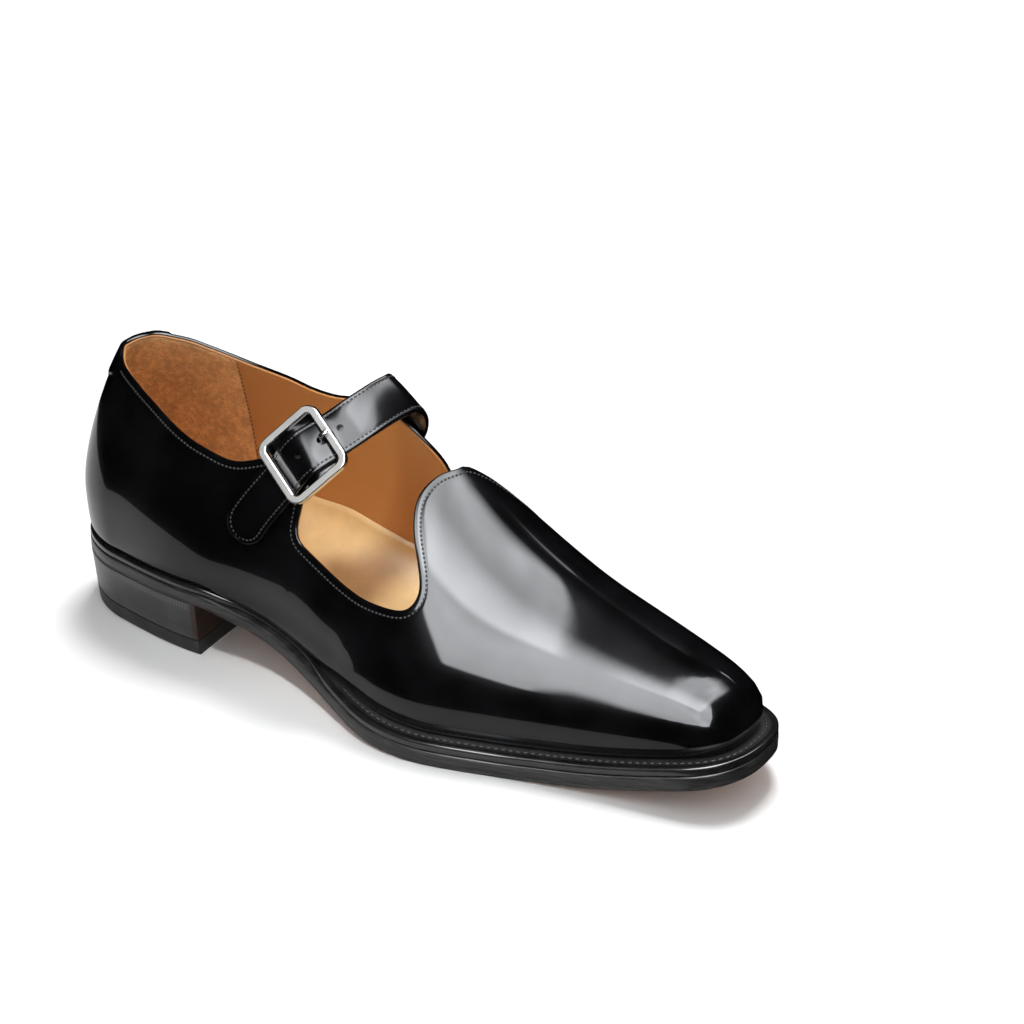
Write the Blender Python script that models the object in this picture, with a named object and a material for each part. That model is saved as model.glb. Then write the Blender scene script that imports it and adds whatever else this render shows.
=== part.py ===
"""Monk strap shoe, right foot: leather outsole and welt, stacked heel, hollow upper on the form of
the last, insole, strap over the instep and a square centre-bar buckle on the lateral side.

Metres in the scene, millimetres in the tables. +X toe, +Y medial, +Z up, resting on Z = 0."""

import math

import bmesh
import bpy
import numpy as np
from mathutils import Vector

MM = 0.001
GAP = 0.3              # clearance between pieces
LENGTH = 297.0         # outsole, back of the heel to the toe
HEEL_ROUND, HEEL_POWER = 29.0, 2.0     # length and squareness of the rounded back
TOE_ROUND, TOE_POWER = 22.0, 2.6       # length and squareness of the toe
WALL = 2.0             # upper and its lining together
INSOLE = 3.0
WELT_WIDTH = 13.0
SPINE = (31.0, 265.0)  # ridge of the last, first and last point

BREAST = 73.0          # front face of the heel
HEEL_TAPER = 1.6       # each side, seat to ground
TOP_LIFT = 6.0
BREAST_HOLLOW = 2.0

STRAP_WIDTH, STRAP_THICK = 17.0, 2.2
HOLE = 3.2             # strap holes
HOLES = (9.0, -1.2, 16.2)      # from the centre bar towards the ridge
BUCKLE, BAR, CORNER = 28.0, 3.0, 5.0   # square frame, its wire and corner radius
BAR_HEIGHT, PIN_HEIGHT = 5.3, 2.9      # outer bars and centre bar above the quarter
PIN_BAR, PRONG = 1.7, 1.5
TAB_THICK, TAB_WIDTH = 0.7, 21.0       # loop round the centre bar
REST_THICK, REST_WIDTH, REST = 0.8, 22.4, (-11.5, 12.5)    # leather below the buckle

# outsole half widths at a distance from the back of the heel
OUTLINE = (
    # x, lateral, medial
    (0, 28.0, 28.0), (14, 28.3, 28.2), (26, 29.8, 28.9), (40, 32.4, 30.3), (57, 34.9, 31.3), (72, 35.5, 31.2),
    (87, 34.4, 29.6), (101, 34.3, 28.2), (113, 35.8, 27.8), (125, 38.8, 29.0), (137, 42.8, 31.6),
    (149, 47.4, 35.4), (160, 50.8, 39.2), (172, 52.0, 43.2), (185, 50.8, 46.8), (199, 47.4, 49.2),
    (213, 43.2, 49.2), (227, 39.5, 46.6), (242, 35.9, 42.0), (257, 32.4, 35.8), (272, 28.9, 28.8),
    (285, 25.8, 22.6), (297, 23.5, 18.5))

# height of the outsole's underside, thicknesses, and how far the welt stands out past the upper
PROFILE = (
    # x, underside, outsole, welt, lateral margin, medial margin
    (0, 22.4, 5.0, 2.6, 1.5, 1.5), (37, 22.4, 5.0, 2.6, 1.8, 1.6), (73, 22.3, 5.0, 2.6, 2.2, 1.6),
    (87, 19.9, 5.0, 2.3, 2.6, 1.6), (101, 17.3, 5.1, 2.1, 2.8, 1.8), (115, 13.8, 5.2, 2.1, 3.2, 2.2),
    (129, 9.8, 5.4, 2.4, 4.0, 3.0), (143, 6.0, 5.6, 2.8, 5.4, 4.2), (157, 2.9, 5.7, 3.2, 6.6, 5.6),
    (171, 0.8, 5.8, 3.2, 7.0, 6.6), (185, 0.0, 5.8, 3.2, 7.0, 7.0), (211, 0.0, 5.8, 3.2, 7.0, 7.0),
    (227, 0.9, 5.8, 3.2, 7.0, 7.0), (242, 2.2, 5.8, 3.2, 7.0, 7.0), (257, 4.4, 5.8, 3.2, 7.0, 7.0),
    (277, 8.5, 5.8, 3.2, 7.0, 7.0), (297, 13.0, 5.8, 3.2, 7.0, 7.0))

# half sections of the last, feather line to ridge
SECTIONS = (
    # x, ridge height, ridge offset, bulge lat, bulge med, bulge height, rise lat, rise med,
    # crown lat, crown med
    (0, 117.5, 0.0, 1.5, 1.5, 18, .28, .28, .44, .44),
    (22, 119.5, 1.0, 2.2, 2.0, 18, .32, .34, .42, .42),
    (47, 121.5, 3.0, 3.0, 2.6, 18, .38, .42, .42, .44),
    (72, 123, 5.0, 3.2, 3.0, 17, .40, .44, .42, .46),
    (97, 122, 6.0, 3.2, 3.0, 16, .40, .45, .40, .45),
    (122, 116.5, 7.0, 3.0, 3.0, 15, .38, .42, .40, .42),
    (147, 99.3, 8.0, 2.8, 2.8, 14, .38, .42, .42, .42),
    (172, 86.3, 7.0, 2.6, 2.6, 12, .40, .48, .45, .52),
    (197, 72.2, 6.3, 2.4, 2.2, 11, .42, .38, .50, .50),
    (222, 61, 5.0, 2.2, 1.6, 10, .45, .34, .52, .44),
    (247, 53.5, 3.0, 2.0, 1.4, 9, .50, .38, .55, .50),
    (272, 47.6, 1.0, 1.8, 1.3, 8, .50, .46, .55, .56),
    (297, 42, 0.0, 1.4, 1.3, 8, .50, .50, .54, .58))

# edge of the opening: place along the ridge, girth down from the ridge, place along the sole
LATERAL_EDGE = (
    # x, down, foot
    (31, 19.8, 0), (34, 21.8, 3.2), (37, 24.7, 6), (42, 28.3, 11), (53, 34.6, 24),
    (64, 41.0, 39), (75, 47.6, 53), (85, 52.3, 65), (95, 54.5, 78), (103, 53.2, 88), (109, 49.5, 95),
    (115, 47.0, 101), (121.5, 48.5, 109), (126, 56.0, 115), (126, 65.0, 119), (131, 71.0, 127),
    (143, 69.4, 141), (155, 66.6, 157), (165, 62.3, 179), (170.8, 56.5, 205), (172, 48.0, 229),
    (168.5, 40.5, 247), (163.6, 32.0, 264), (161.2, 23.5, 278), (162.1, 15.0, 289), (164.6, 7.0, 295))
MEDIAL_EDGE = (
    # x, down, foot
    (31, 19.8, 0), (34, 18.7, 3.2), (37, 18.6, 6), (42, 20.6, 11), (52, 24.9, 24),
    (63, 30.4, 39), (74, 35.0, 53), (85, 37.4, 65), (95, 37.9, 78), (103, 36.8, 87), (110, 34.4, 94),
    (117, 30.2, 101), (124, 25.4, 108), (131, 22.6, 114), (138, 21.3, 120), (145.3, 22.0, 126),
    (149.6, 26.0, 131), (151.3, 33.0, 136), (152.3, 41.0, 142), (155.6, 47.5, 151), (162, 49.5, 163),
    (170, 46.5, 179), (176.8, 40.0, 199), (180.3, 31.5, 221), (180.1, 23.0, 242), (176.8, 15.0, 262),
    (171.8, 8.5, 280), (168.4, 3.6, 292))
EDGE_PEAK = (166.7, 297.0)     # lobe of the vamp: place along the ridge, place along the sole
FOOT_WEIGHT = 200.0    # spreads the ribs along the sole as well as along the edge

# middle line of the strap, tip first: place along the ridge, girth (lateral negative), lift
STRAP = (
    # x, girth, lift
    (107.6, -80.6, 0.35), (110.8, -70.6, 0.35), (114.6, -61.6, 0.45), (119.2, -51.3, 1.5),
    (124.6, -40.2, 5.6), (129.6, -29.0, 1.5), (133.4, -20.0, 0.9), (136.0, -12.5, 0.6),
    (138.0, -4.0, 0.5), (138.8, 5.0, 0.6), (138.4, 13.5, 0.6), (136.4, 23.0, 0.4),
    (133.6, 31.5, 0.35), (130.6, 39.5, 0.35))
BUCKLE_AT = (124.6, -40.2)     # middle of the centre bar


# --------------------------------------------------------------------------------- curves
def natural(rows, column, x):
    """Natural cubic spline through one column of a table."""
    xs = np.array([row[0] for row in rows], float)
    ys = np.array([row[column] for row in rows], float)
    n, h = len(xs), np.diff(xs)
    a, b = np.zeros((n, n)), np.zeros(n)
    a[0, 0] = a[-1, -1] = 1
    for i in range(1, n - 1):
        a[i, i - 1:i + 2] = h[i - 1], 2 * (h[i - 1] + h[i]), h[i]
        b[i] = 6 * ((ys[i + 1] - ys[i]) / h[i] - (ys[i] - ys[i - 1]) / h[i - 1])
    m = np.linalg.solve(a, b)
    x = np.clip(np.asarray(x, float), xs[0], xs[-1])
    k = np.clip(np.searchsorted(xs, x) - 1, 0, n - 2)
    t, hk = x - xs[k], h[k]
    slope = (ys[k + 1] - ys[k]) / hk - hk * (2 * m[k] + m[k + 1]) / 6
    return ys[k] + t * slope + t * t * m[k] / 2 + t ** 3 * (m[k + 1] - m[k]) / (6 * hk)


def monotone(rows, column, x):
    """Cubic through one column that never overshoots, so level rows stay level."""
    xs = np.array([row[0] for row in rows], float)
    ys = np.array([row[column] for row in rows], float)
    h, d = np.diff(xs), np.diff(ys) / np.diff(xs)
    m = np.zeros(len(xs))
    for i in range(1, len(xs) - 1):
        if d[i - 1] * d[i] > 0:
            w1, w2 = 2 * h[i] + h[i - 1], h[i] + 2 * h[i - 1]
            m[i] = (w1 + w2) / (w1 / d[i - 1] + w2 / d[i])
    m[-1] = d[-1]
    x = np.clip(np.asarray(x, float), xs[0], xs[-1])
    k = np.clip(np.searchsorted(xs, x) - 1, 0, len(xs) - 2)
    t, hk = (x - xs[k]) / h[k], h[k]
    return (ys[k] * (1 + 2 * t) * (1 - t) ** 2 + hk * m[k] * t * (1 - t) ** 2
            + ys[k + 1] * t * t * (3 - 2 * t) + hk * m[k + 1] * t * t * (t - 1))


def along(points, steps, guide=0):
    """Points spaced evenly by length on a smooth curve through the given ones.

    The first and last few, guide of them, only steer the ends."""
    points = np.asarray(points, float)
    s = np.r_[0, np.cumsum(np.linalg.norm(np.diff(points, axis=0), axis=1))]
    rows = np.column_stack([s, points])
    dense = np.linspace(s[guide], s[-1 - guide], 40 * len(points))
    fine = np.column_stack([natural(rows, c + 1, dense) for c in range(points.shape[1])])
    length = np.r_[0, np.cumsum(np.linalg.norm(np.diff(fine, axis=0), axis=1))]
    at = np.linspace(0, length[-1], steps) if np.isscalar(steps) else np.asarray(steps) * length[-1]
    return np.column_stack([np.interp(at, length, fine[:, c]) for c in range(points.shape[1])])


def bezier(a, b, c, d, t):
    return (1 - t) ** 3 * a + 3 * t * (1 - t) ** 2 * b + 3 * t * t * (1 - t) * c + t ** 3 * d


# --------------------------------------------------------------------------------- outlines
def half_width(x, side):
    """Outsole half width; side is -1 lateral, 1 medial."""
    width = natural(OUTLINE, 1 if side < 0 else 2, x)
    back = np.clip(1 - x / HEEL_ROUND, 0, 1)
    front = np.clip(1 - (LENGTH - x) / TOE_ROUND, 0, 1)
    return (width * (1 - back ** HEEL_POWER) ** (1 / HEEL_POWER)
            * (1 - front ** TOE_POWER) ** (1 / TOE_POWER))


def side_line(side, inset=0.0, start=0.0, stop=LENGTH, steps=400):
    """One side of the sole's outline moved inwards; inset is a number or a function of x."""
    s = np.linspace(0, 1, steps)
    x = start + (stop - start) * (1 - np.cos(np.pi * s)) / 2
    line = np.column_stack([x, side * half_width(x, side)])
    run = np.gradient(line, axis=0)
    if start == 0:
        run[0] = 0, side
    if stop == LENGTH:
        run[-1] = 0, -side
    run /= np.linalg.norm(run, axis=1)[:, None]
    amount = inset(x) if callable(inset) else np.full(steps, float(inset))
    return line + np.column_stack([run[:, 1], -run[:, 0]]) * (side * amount)[:, None]


def margin(side):
    return lambda x: monotone(PROFILE, 4 if side < 0 else 5, x)


def underside(x):
    return monotone(PROFILE, 1, x)


def outsole_top(x):
    return underside(x) + monotone(PROFILE, 2, x)


def welt_top(x):
    return outsole_top(x) + GAP + monotone(PROFILE, 3, x)


def loop(height, steps, inset=0.0, extra=None, **where):
    """Closed ring round the sole at a height given by x; lateral side from the heel, medial back."""
    sides = []
    for side in (-1, 1):
        amount = inset[0 if side < 0 else 1] if isinstance(inset, tuple) else inset
        line = side_line(side, amount, **where)
        keep = np.unique(np.round(np.linspace(0, len(line) - 1, steps)).astype(int))
        line = line[keep]
        sides.append(np.column_stack([line, height(line[:, 0])]))
    lateral, medial = sides
    return np.concatenate([lateral, medial[-2:0:-1]]) if extra is None else \
        np.concatenate([lateral, medial[::-1]])


# --------------------------------------------------------------------------------- the last
class HalfLast:
    """One half of the outside form, feather line to ridge, sampled on a fine grid."""

    ACROSS, UP = 320, 161

    def __init__(self, side):
        self.side = side
        line = side_line(side, margin(side), steps=900)
        keep = np.r_[True, np.linalg.norm(np.diff(line, axis=0), axis=1) > 1e-9]
        line = line[keep]
        length = np.r_[0, np.cumsum(np.linalg.norm(np.diff(line, axis=0), axis=1))]
        at = np.linspace(0, length[-1], self.ACROSS)
        foot = np.column_stack([np.interp(at, length, line[:, c]) for c in (0, 1)])
        x = foot[:, 0]
        share = (x - x[0]) / (x[-1] - x[0])
        col = {name: natural(SECTIONS, c, x)[:, None] for name, c in dict(
            ridge=1, offset=2, bulge=3 if side < 0 else 4, low=5,
            rise=6 if side < 0 else 7, crown=8 if side < 0 else 9).items()}
        head = np.column_stack([SPINE[0] + (SPINE[1] - SPINE[0]) * share, col["offset"][:, 0]])
        reach = np.linalg.norm(head - foot, axis=1)[:, None]
        base = (welt_top(x) + GAP)[:, None]
        belly, t = base + col["low"], np.linspace(0, 1, 121)[None]
        out, top = -col["bulge"], col["ridge"]
        r = np.concatenate([bezier(0 * base, .55 * out, out, out, t),
                            bezier(out, out, reach - col["crown"] * (reach - out), reach, t)[:, 1:]], 1)
        z = np.concatenate([bezier(base, base, belly - .55 * col["low"], belly, t),
                            bezier(belly, belly + col["rise"] * (top - belly), top, top, t)[:, 1:]], 1)
        arc = np.concatenate([0 * base, np.cumsum(np.hypot(np.diff(r), np.diff(z)), axis=1)], 1)
        share_up = np.linspace(0, 1, self.UP)
        rows = range(self.ACROSS)
        r = np.array([np.interp(share_up * arc[i, -1], arc[i], r[i]) for i in rows])
        z = np.array([np.interp(share_up * arc[i, -1], arc[i], z[i]) for i in rows])
        way = (head - foot) / reach
        self.grid = np.concatenate([foot[:, None] + way[:, None] * r[..., None], z[..., None]], -1)
        self.foot, self.head, self.girth = foot, head, arc[:, -1]
        self.crest = np.column_stack([head[:, 0], 0 * x])      # the ridge drawn straight
        a, b = np.gradient(self.grid, axis=0), np.gradient(self.grid, axis=1)
        self.normal = np.cross(a, b) * -side
        self.normal[:, 0] = (0, 0, -1)
        self.normal /= np.linalg.norm(self.normal, axis=-1)[..., None]

    def sample(self, grid, u, t):
        """Value on a grid at u along the outline and t up the section, both as shares."""
        n, m = grid.shape[:2]
        u, t = np.clip(u, 0, 1) * (n - 1), np.clip(t, 0, 1) * (m - 1)
        i, j = np.minimum(u.astype(int), n - 2), np.minimum(t.astype(int), m - 2)
        p, q = (u - i)[..., None], (t - j)[..., None]
        return (grid[i, j] * (1 - p) * (1 - q) + grid[i + 1, j] * p * (1 - q)
                + grid[i, j + 1] * (1 - p) * q + grid[i + 1, j + 1] * p * q)

    def share(self, column, value):
        return np.interp(value, column, np.linspace(0, 1, len(column)))

    def flat(self, u, t):
        """Place on the flattened pattern."""
        n = len(self.foot) - 1
        ends = [np.column_stack([np.interp(u * n, np.arange(n + 1), line[:, c]) for c in (0, 1)])
                for line in (self.foot, self.crest)]
        return ends[0] + (ends[1] - ends[0]) * np.asarray(t)[:, None]


class Last:
    """Both halves, with the ridge shared; a place is (side, u, t) or (x, girth)."""

    def __init__(self):
        self.half = {-1: HalfLast(-1), 1: HalfLast(1)}
        a, b = self.half[-1], self.half[1]
        crest = np.zeros((HalfLast.ACROSS, 3))
        for half, other in ((a, b), (b, a)):
            for c in range(3):
                crest[:, c] = np.interp(half.head[:, 0], other.head[:, 0], other.normal[:, -1, c])
            mean = half.normal[:, -1] + crest
            half.normal[:, -1] = mean / np.linalg.norm(mean, axis=1)[:, None]

    def place(self, x, girth):
        """Side, u and t of a point at x along the ridge and girth from it, lateral negative."""
        side = np.where(np.asarray(girth) < 0, -1, 1)
        u, t = np.zeros(len(side)), np.zeros(len(side))
        for s in (-1, 1):
            h, mine = self.half[s], side == s
            u[mine] = h.share(h.head[:, 0], np.asarray(x)[mine])
            full = np.interp(u[mine], np.linspace(0, 1, len(h.girth)), h.girth)
            t[mine] = 1 - np.abs(np.asarray(girth)[mine]) / full
        return side, u, t

    def on(self, side, u, t, lift=0.0):
        """Points on the form and its outward directions, moved out by lift."""
        point, way = np.zeros((len(u), 3)), np.zeros((len(u), 3))
        for s in (-1, 1):
            mine = side == s
            if mine.any():
                point[mine] = self.half[s].sample(self.half[s].grid, u[mine], t[mine])
                way[mine] = self.half[s].sample(self.half[s].normal, u[mine], t[mine])
        way /= np.linalg.norm(way, axis=1)[:, None]
        return point + way * np.broadcast_to(lift, len(u))[:, None], way

    def unflat(self, side, q):
        """Side, u and t of places on the flattened pattern, by halving on the section lines."""
        q, h = np.asarray(q, float), self.half[side]
        lo, hi = np.zeros(len(q)), np.ones(len(q))
        for _ in range(44):
            mid = (lo + hi) / 2
            foot, head = h.flat(mid, np.zeros(len(q))), h.flat(mid, np.ones(len(q)))
            turn = ((head - foot)[:, 0] * (q - foot)[:, 1] - (head - foot)[:, 1] * (q - foot)[:, 0])
            ahead = turn * side > 0
            lo, hi = np.where(ahead, mid, lo), np.where(ahead, hi, mid)
        foot, head = h.flat(mid, np.zeros(len(q))), h.flat(mid, np.ones(len(q)))
        reach = ((head - foot) ** 2).sum(1)
        return mid, np.clip(((q - foot) * (head - foot)).sum(1) / reach, 0, 1)


# --------------------------------------------------------------------------------- meshes
def material(name, colour, rough, metal=0.0):
    mat = bpy.data.materials.new(name)
    mat.use_nodes = True
    shader = mat.node_tree.nodes["Principled BSDF"]
    shader.inputs["Base Color"].default_value = (*colour, 1)
    shader.inputs["Roughness"].default_value = rough
    shader.inputs["Metallic"].default_value = metal
    return mat


def solid(name, points, faces, mat):
    """One closed body from points in millimetres, x measured from the heel."""
    mesh = bpy.data.meshes.new(name)
    points = [((p[0] - LENGTH / 2) * MM, p[1] * MM, p[2] * MM) for p in points]
    mesh.from_pydata(points, [], faces)
    bm = bmesh.new()
    bm.from_mesh(mesh)
    bmesh.ops.remove_doubles(bm, verts=bm.verts, dist=1e-6)
    bmesh.ops.dissolve_degenerate(bm, edges=bm.edges, dist=1e-6)
    bmesh.ops.triangulate(bm, faces=bm.faces)
    bmesh.ops.recalc_face_normals(bm, faces=bm.faces)
    bm.to_mesh(mesh)
    bm.free()
    obj = bpy.data.objects.new(name, mesh)
    bpy.context.scene.collection.objects.link(obj)
    mesh.materials.append(mat)
    return obj


def bands(rings, first=0):
    """Quads joining closed rings of equal length, one after another."""
    n = len(rings[0])
    return [(first + r * n + i, first + r * n + (i + 1) % n,
             first + (r + 1) * n + (i + 1) % n, first + (r + 1) * n + i)
            for r in range(len(rings) - 1) for i in range(n)]


def ladder(n, start, both_ends):
    """Faces across a ring made of a lateral run and the medial run back."""
    half = n // 2
    faces = []
    for i in range(half if both_ends else half - 1):
        if both_ends:
            quad = [i, i + 1, (n - i - 1) % n, (n - i) % n]
        else:
            quad = [i, i + 1, n - i - 2, n - i - 1]
        faces.append(tuple(start + k for k in dict.fromkeys(quad)))
    return [f for f in faces if len(f) > 2]


def stack(name, rings, mat, round_ends=True):
    """A body from closed rings, low to high, with its two ends filled across."""
    n = len(rings[0])
    faces = bands(rings) + ladder(n, 0, round_ends) + ladder(n, n * (len(rings) - 1), round_ends)
    return solid(name, np.concatenate(rings), faces, mat)


def build_outsole(mat):
    n = 44
    top = loop(outsole_top, n)
    edge = loop(lambda x: underside(x) + 0.5, n)
    low = loop(underside, n, 0.5)
    return stack("outsole", [low, edge, top], mat)


def build_welt(mat):
    """A strip round the whole edge, on the outsole and under the upper."""
    n = 44

    def inner(side):
        return lambda x: np.minimum(WELT_WIDTH, 4.0 + margin(side)(x) * 1.25)
    inside = (inner(-1), inner(1))
    # in the waist the strip is drawn in under the upper
    tuck = (waist_tuck(-1), waist_tuck(1))
    low, high = (lambda x: outsole_top(x) + GAP), welt_top
    rings = [loop(low, n, inside), loop(low, n, tuck), loop(high, n, tuck), loop(high, n, inside)]
    faces = bands(rings + [rings[0]])
    count = len(rings[0]) * 4
    faces = [tuple(k % count for k in f) for f in faces]
    return solid("welt", np.concatenate(rings), faces, mat)


def waist_tuck(side):
    def amount(x):
        here = np.exp(-((x - 105) / 26.0) ** 4)
        return 0.15 + here * (margin(side)(x) - 0.4)
    return amount


def heel_ring(height, inset, steps=22):
    """Ring round the heel at one height, closed across the breast with a slight hollow."""
    sides = []
    for side in (-1, 1):
        line = side_line(side, inset, stop=BREAST, steps=400)
        s = np.linspace(0, 1, steps)
        length = np.r_[0, np.cumsum(np.linalg.norm(np.diff(line, axis=0), axis=1))]
        line = np.column_stack([np.interp(s * length[-1], length, line[:, c]) for c in (0, 1)])
        sides.append(line)
    lateral, medial = sides
    a, b = lateral[-1], medial[-1]
    front = [a + (b - a) * k / 8 - np.array([BREAST_HOLLOW * math.sin(math.pi * k / 8), 0])
             for k in range(1, 8)]
    ring = np.concatenate([lateral, front, medial[:0:-1]])
    z = height(ring[:, 0]) if callable(height) else np.full(len(ring), height)
    return np.column_stack([ring, z])


def filled(name, rings, mat):
    """A body from closed rings whose first and last are filled as flat outlines."""
    n = len(rings[0])
    faces = bands(rings) + [tuple(range(n)), tuple(range(n * (len(rings) - 1), n * len(rings)))]
    return solid(name, np.concatenate(rings), faces, mat)


def build_heel(mat_stack, mat_lift):
    split = HEEL_TAPER * (1 - TOP_LIFT / 22.0)
    lift = [heel_ring(0.0, HEEL_TAPER + 0.5), heel_ring(0.5, HEEL_TAPER), heel_ring(TOP_LIFT, split)]
    block = [heel_ring(TOP_LIFT + GAP, split), heel_ring(14.0, HEEL_TAPER * 0.4),
             heel_ring(lambda x: underside(x) - GAP, 0.0)]
    return filled("heel_stack", block, mat_stack), filled("top_lift", lift, mat_lift)


def build_insole(mat):
    """Fills the ring of the welt and lies inside the upper."""
    n = 52
    low, mid = (lambda x: outsole_top(x) + GAP), (lambda x: welt_top(x) + GAP)
    high = (lambda x: welt_top(x) + GAP + INSOLE)

    def boss(side):
        return lambda x: np.minimum(WELT_WIDTH, 4.0 + margin(side)(x) * 1.25) + GAP

    def body(side):
        return lambda x: margin(side)(x) + WALL + 0.9
    wide, narrow = (body(-1), body(1)), (boss(-1), boss(1))
    rings = [loop(low, n, narrow), loop(mid, n, narrow), loop(mid, n, wide), loop(high, n, wide)]
    return stack("insole", rings, mat)


def edge_line(last, side, steps):
    """Opening's edge on the flattened pattern, heel to the lobe, with the foot each rib runs to."""
    rows = LATERAL_EDGE if side < 0 else MEDIAL_EDGE
    half = last.half[side]
    x = np.array([r[0] for r in rows] + [EDGE_PEAK[0]], float)
    down = np.array([r[1] for r in rows] + [0.0], float)
    foot = np.array([r[2] for r in rows] + [EDGE_PEAK[1]], float)
    u = half.share(half.head[:, 0], x)
    full = np.interp(u, np.linspace(0, 1, len(half.girth)), half.girth)
    flat = half.flat(u, 1 - down / full)
    line = np.column_stack([flat, half.share(half.foot[:, 0], foot) * FOOT_WEIGHT])
    # carried on across the middle line at both ends, so the two halves meet squarely
    before = line[3:0:-1] * (1, -1, -1)
    after = line[-2:-5:-1] * (1, -1, -1) + (0, 0, 2 * FOOT_WEIGHT)
    line = along(np.concatenate([before, line, after]), steps, 3)
    line[:, 2] /= FOOT_WEIGHT
    return line


def build_upper(last, mat, ribs=64, levels=12):
    """Hollow form between the feather line and the opening, two faces a wall apart."""
    outer, inner = [], []
    for side in (-1, 1):
        half = last.half[side]
        line = edge_line(last, side, ribs)
        top, foot_u = line[:, :2], np.clip(line[:, 2], 0, 1)
        foot_u[0], foot_u[-1] = 0, 1
        base = half.flat(foot_u, np.zeros(ribs))
        # levels crowd towards the feather line, more so on the long ribs of the vamp
        power = 1.2 + np.linalg.norm(top - base, axis=1) / 120
        share = np.linspace(0, 1, levels)[None] ** power[:, None]
        q = base[:, None] + (top - base)[:, None] * share[..., None]
        u, t = last.unflat(side, q.reshape(-1, 2))
        u = u.reshape(ribs, levels)
        u[:, 0] = foot_u
        u[0] = 0
        where = np.full(ribs * levels, side)
        p, way = last.on(where, u.ravel(), t)
        outer.append(p.reshape(ribs, levels, 3))
        inner.append((p - way * WALL).reshape(ribs, levels, 3))

    def join(pair):
        lateral, medial = pair
        for end in (0, -1):
            lateral[end] = medial[end] = (lateral[end] + medial[end]) / 2
        return np.concatenate([lateral, medial[-2:0:-1]])
    outside, inside = join(outer), join(inner)
    rings = [outside[:, k] for k in range(levels)] + [inside[:, k] for k in range(levels - 1, -1, -1)]
    count = len(rings) * len(rings[0])
    faces = [tuple(k % count for k in f) for f in bands(rings + [rings[0]])]
    return solid("upper", np.concatenate(rings), faces, mat)


def move_over(last, x, girth, across):
    """Places reached from (x, girth) by small steps across the form, given as directions."""
    def at(x, girth):
        return last.on(*last.place(x, girth))[0]
    ahead, down = at(x + 1, girth) - at(x - 1, girth), at(x, girth + 1) - at(x, girth - 1)
    ahead, down = ahead / 2, down / 2
    aa, dd, ad = (ahead ** 2).sum(1), (down ** 2).sum(1), (ahead * down).sum(1)
    pa, pd = (across * ahead).sum(1), (across * down).sum(1)
    det = aa * dd - ad ** 2
    return x + (pa * dd - pd * ad) / det, girth + (pd * aa - pa * ad) / det


def strap_run(last, steps):
    """Middle line of the strap on the form, its across and forward directions and its lift."""
    rows = along(STRAP, steps)
    middle, way = last.on(*last.place(rows[:, 0], rows[:, 1]))
    run = np.gradient(middle, axis=0)
    run /= np.linalg.norm(run, axis=1)[:, None]
    across = np.cross(way, run)
    across /= np.linalg.norm(across, axis=1)[:, None]
    return rows, middle, run, across, way


def build_strap(last, mat, steps=44, wide=7):
    """Over the instep from the sewn medial end, through the buckle to the rounded tip."""
    rows, middle, _, across, _ = strap_run(last, steps)
    length = np.r_[0, np.cumsum(np.linalg.norm(np.diff(middle, axis=0), axis=1))]
    half = STRAP_WIDTH / 2
    tip = np.clip(1 - length / (half * 1.1), 0, 1)
    width = half * np.sqrt(np.clip(1 - tip ** 2.4, 0.03, 1))
    low, high = [], []
    for k in np.linspace(-1, 1, wide):
        x, girth = move_over(last, rows[:, 0], rows[:, 1], across * (width * k)[:, None])
        place = last.place(x, girth)
        low.append(last.on(*place, rows[:, 2])[0])
        high.append(last.on(*place, rows[:, 2] + STRAP_THICK)[0])
    rings = [np.array([line[i] for line in low] + [line[i] for line in high[::-1]])
             for i in range(steps)]
    return filled("strap", rings, mat)


class BuckleFrame:
    """Place by the buckle: towards the ridge, across the strap, out from the quarter."""

    def __init__(self, last):
        rows, middle, run, across, way = strap_run(last, 240)
        i = int(np.argmin(np.abs(rows[:, 1] - BUCKLE_AT[1])))
        self.origin, self.run, self.across = middle[i], run[i], across[i]
        self.out = np.cross(self.run, self.across)
        near = (middle - self.origin) @ self.run
        self.near, self.fall = near[i - 40:i + 60], ((middle - self.origin) @ self.out)[i - 40:i + 60]
        self.lift = rows[i - 40:i + 60, 2]

    def at(self, s, a, h):
        return self.origin + self.run * s + self.across * a + self.out * h

    def skin(self, s):
        """Height of the quarter below the buckle."""
        return float(np.interp(s, self.near, self.fall))

    def strap(self, s):
        return self.skin(s) + float(np.interp(s, self.near, self.lift))


def scene_point(p):
    return Vector(((p[0] - LENGTH / 2) * MM, p[1] * MM, p[2] * MM))


def wire(name, points, thick, mat, closed=False, sides=3):
    """A round bar bent through the points, ends capped."""
    curve = bpy.data.curves.new(name, "CURVE")
    curve.dimensions = "3D"
    curve.bevel_depth, curve.bevel_resolution, curve.use_fill_caps = thick / 2 * MM, sides, True
    spline = curve.splines.new("POLY")
    spline.points.add(len(points) - 1)
    for point, p in zip(spline.points, points):
        point.co = (*scene_point(p), 1)
    spline.use_cyclic_u = closed
    shape = bpy.data.objects.new(name + "_wire", curve)
    bpy.context.scene.collection.objects.link(shape)
    bpy.context.view_layer.update()
    mesh = bpy.data.meshes.new_from_object(shape.evaluated_get(bpy.context.evaluated_depsgraph_get()))
    bpy.data.objects.remove(shape, do_unlink=True)
    bm = bmesh.new()
    bm.from_mesh(mesh)
    bmesh.ops.remove_doubles(bm, verts=bm.verts, dist=1e-6)
    bmesh.ops.recalc_face_normals(bm, faces=bm.faces)
    bm.to_mesh(mesh)
    bm.free()
    obj = bpy.data.objects.new(name, mesh)
    bpy.context.scene.collection.objects.link(obj)
    mesh.materials.clear()
    mesh.materials.append(mat)
    return obj


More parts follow.
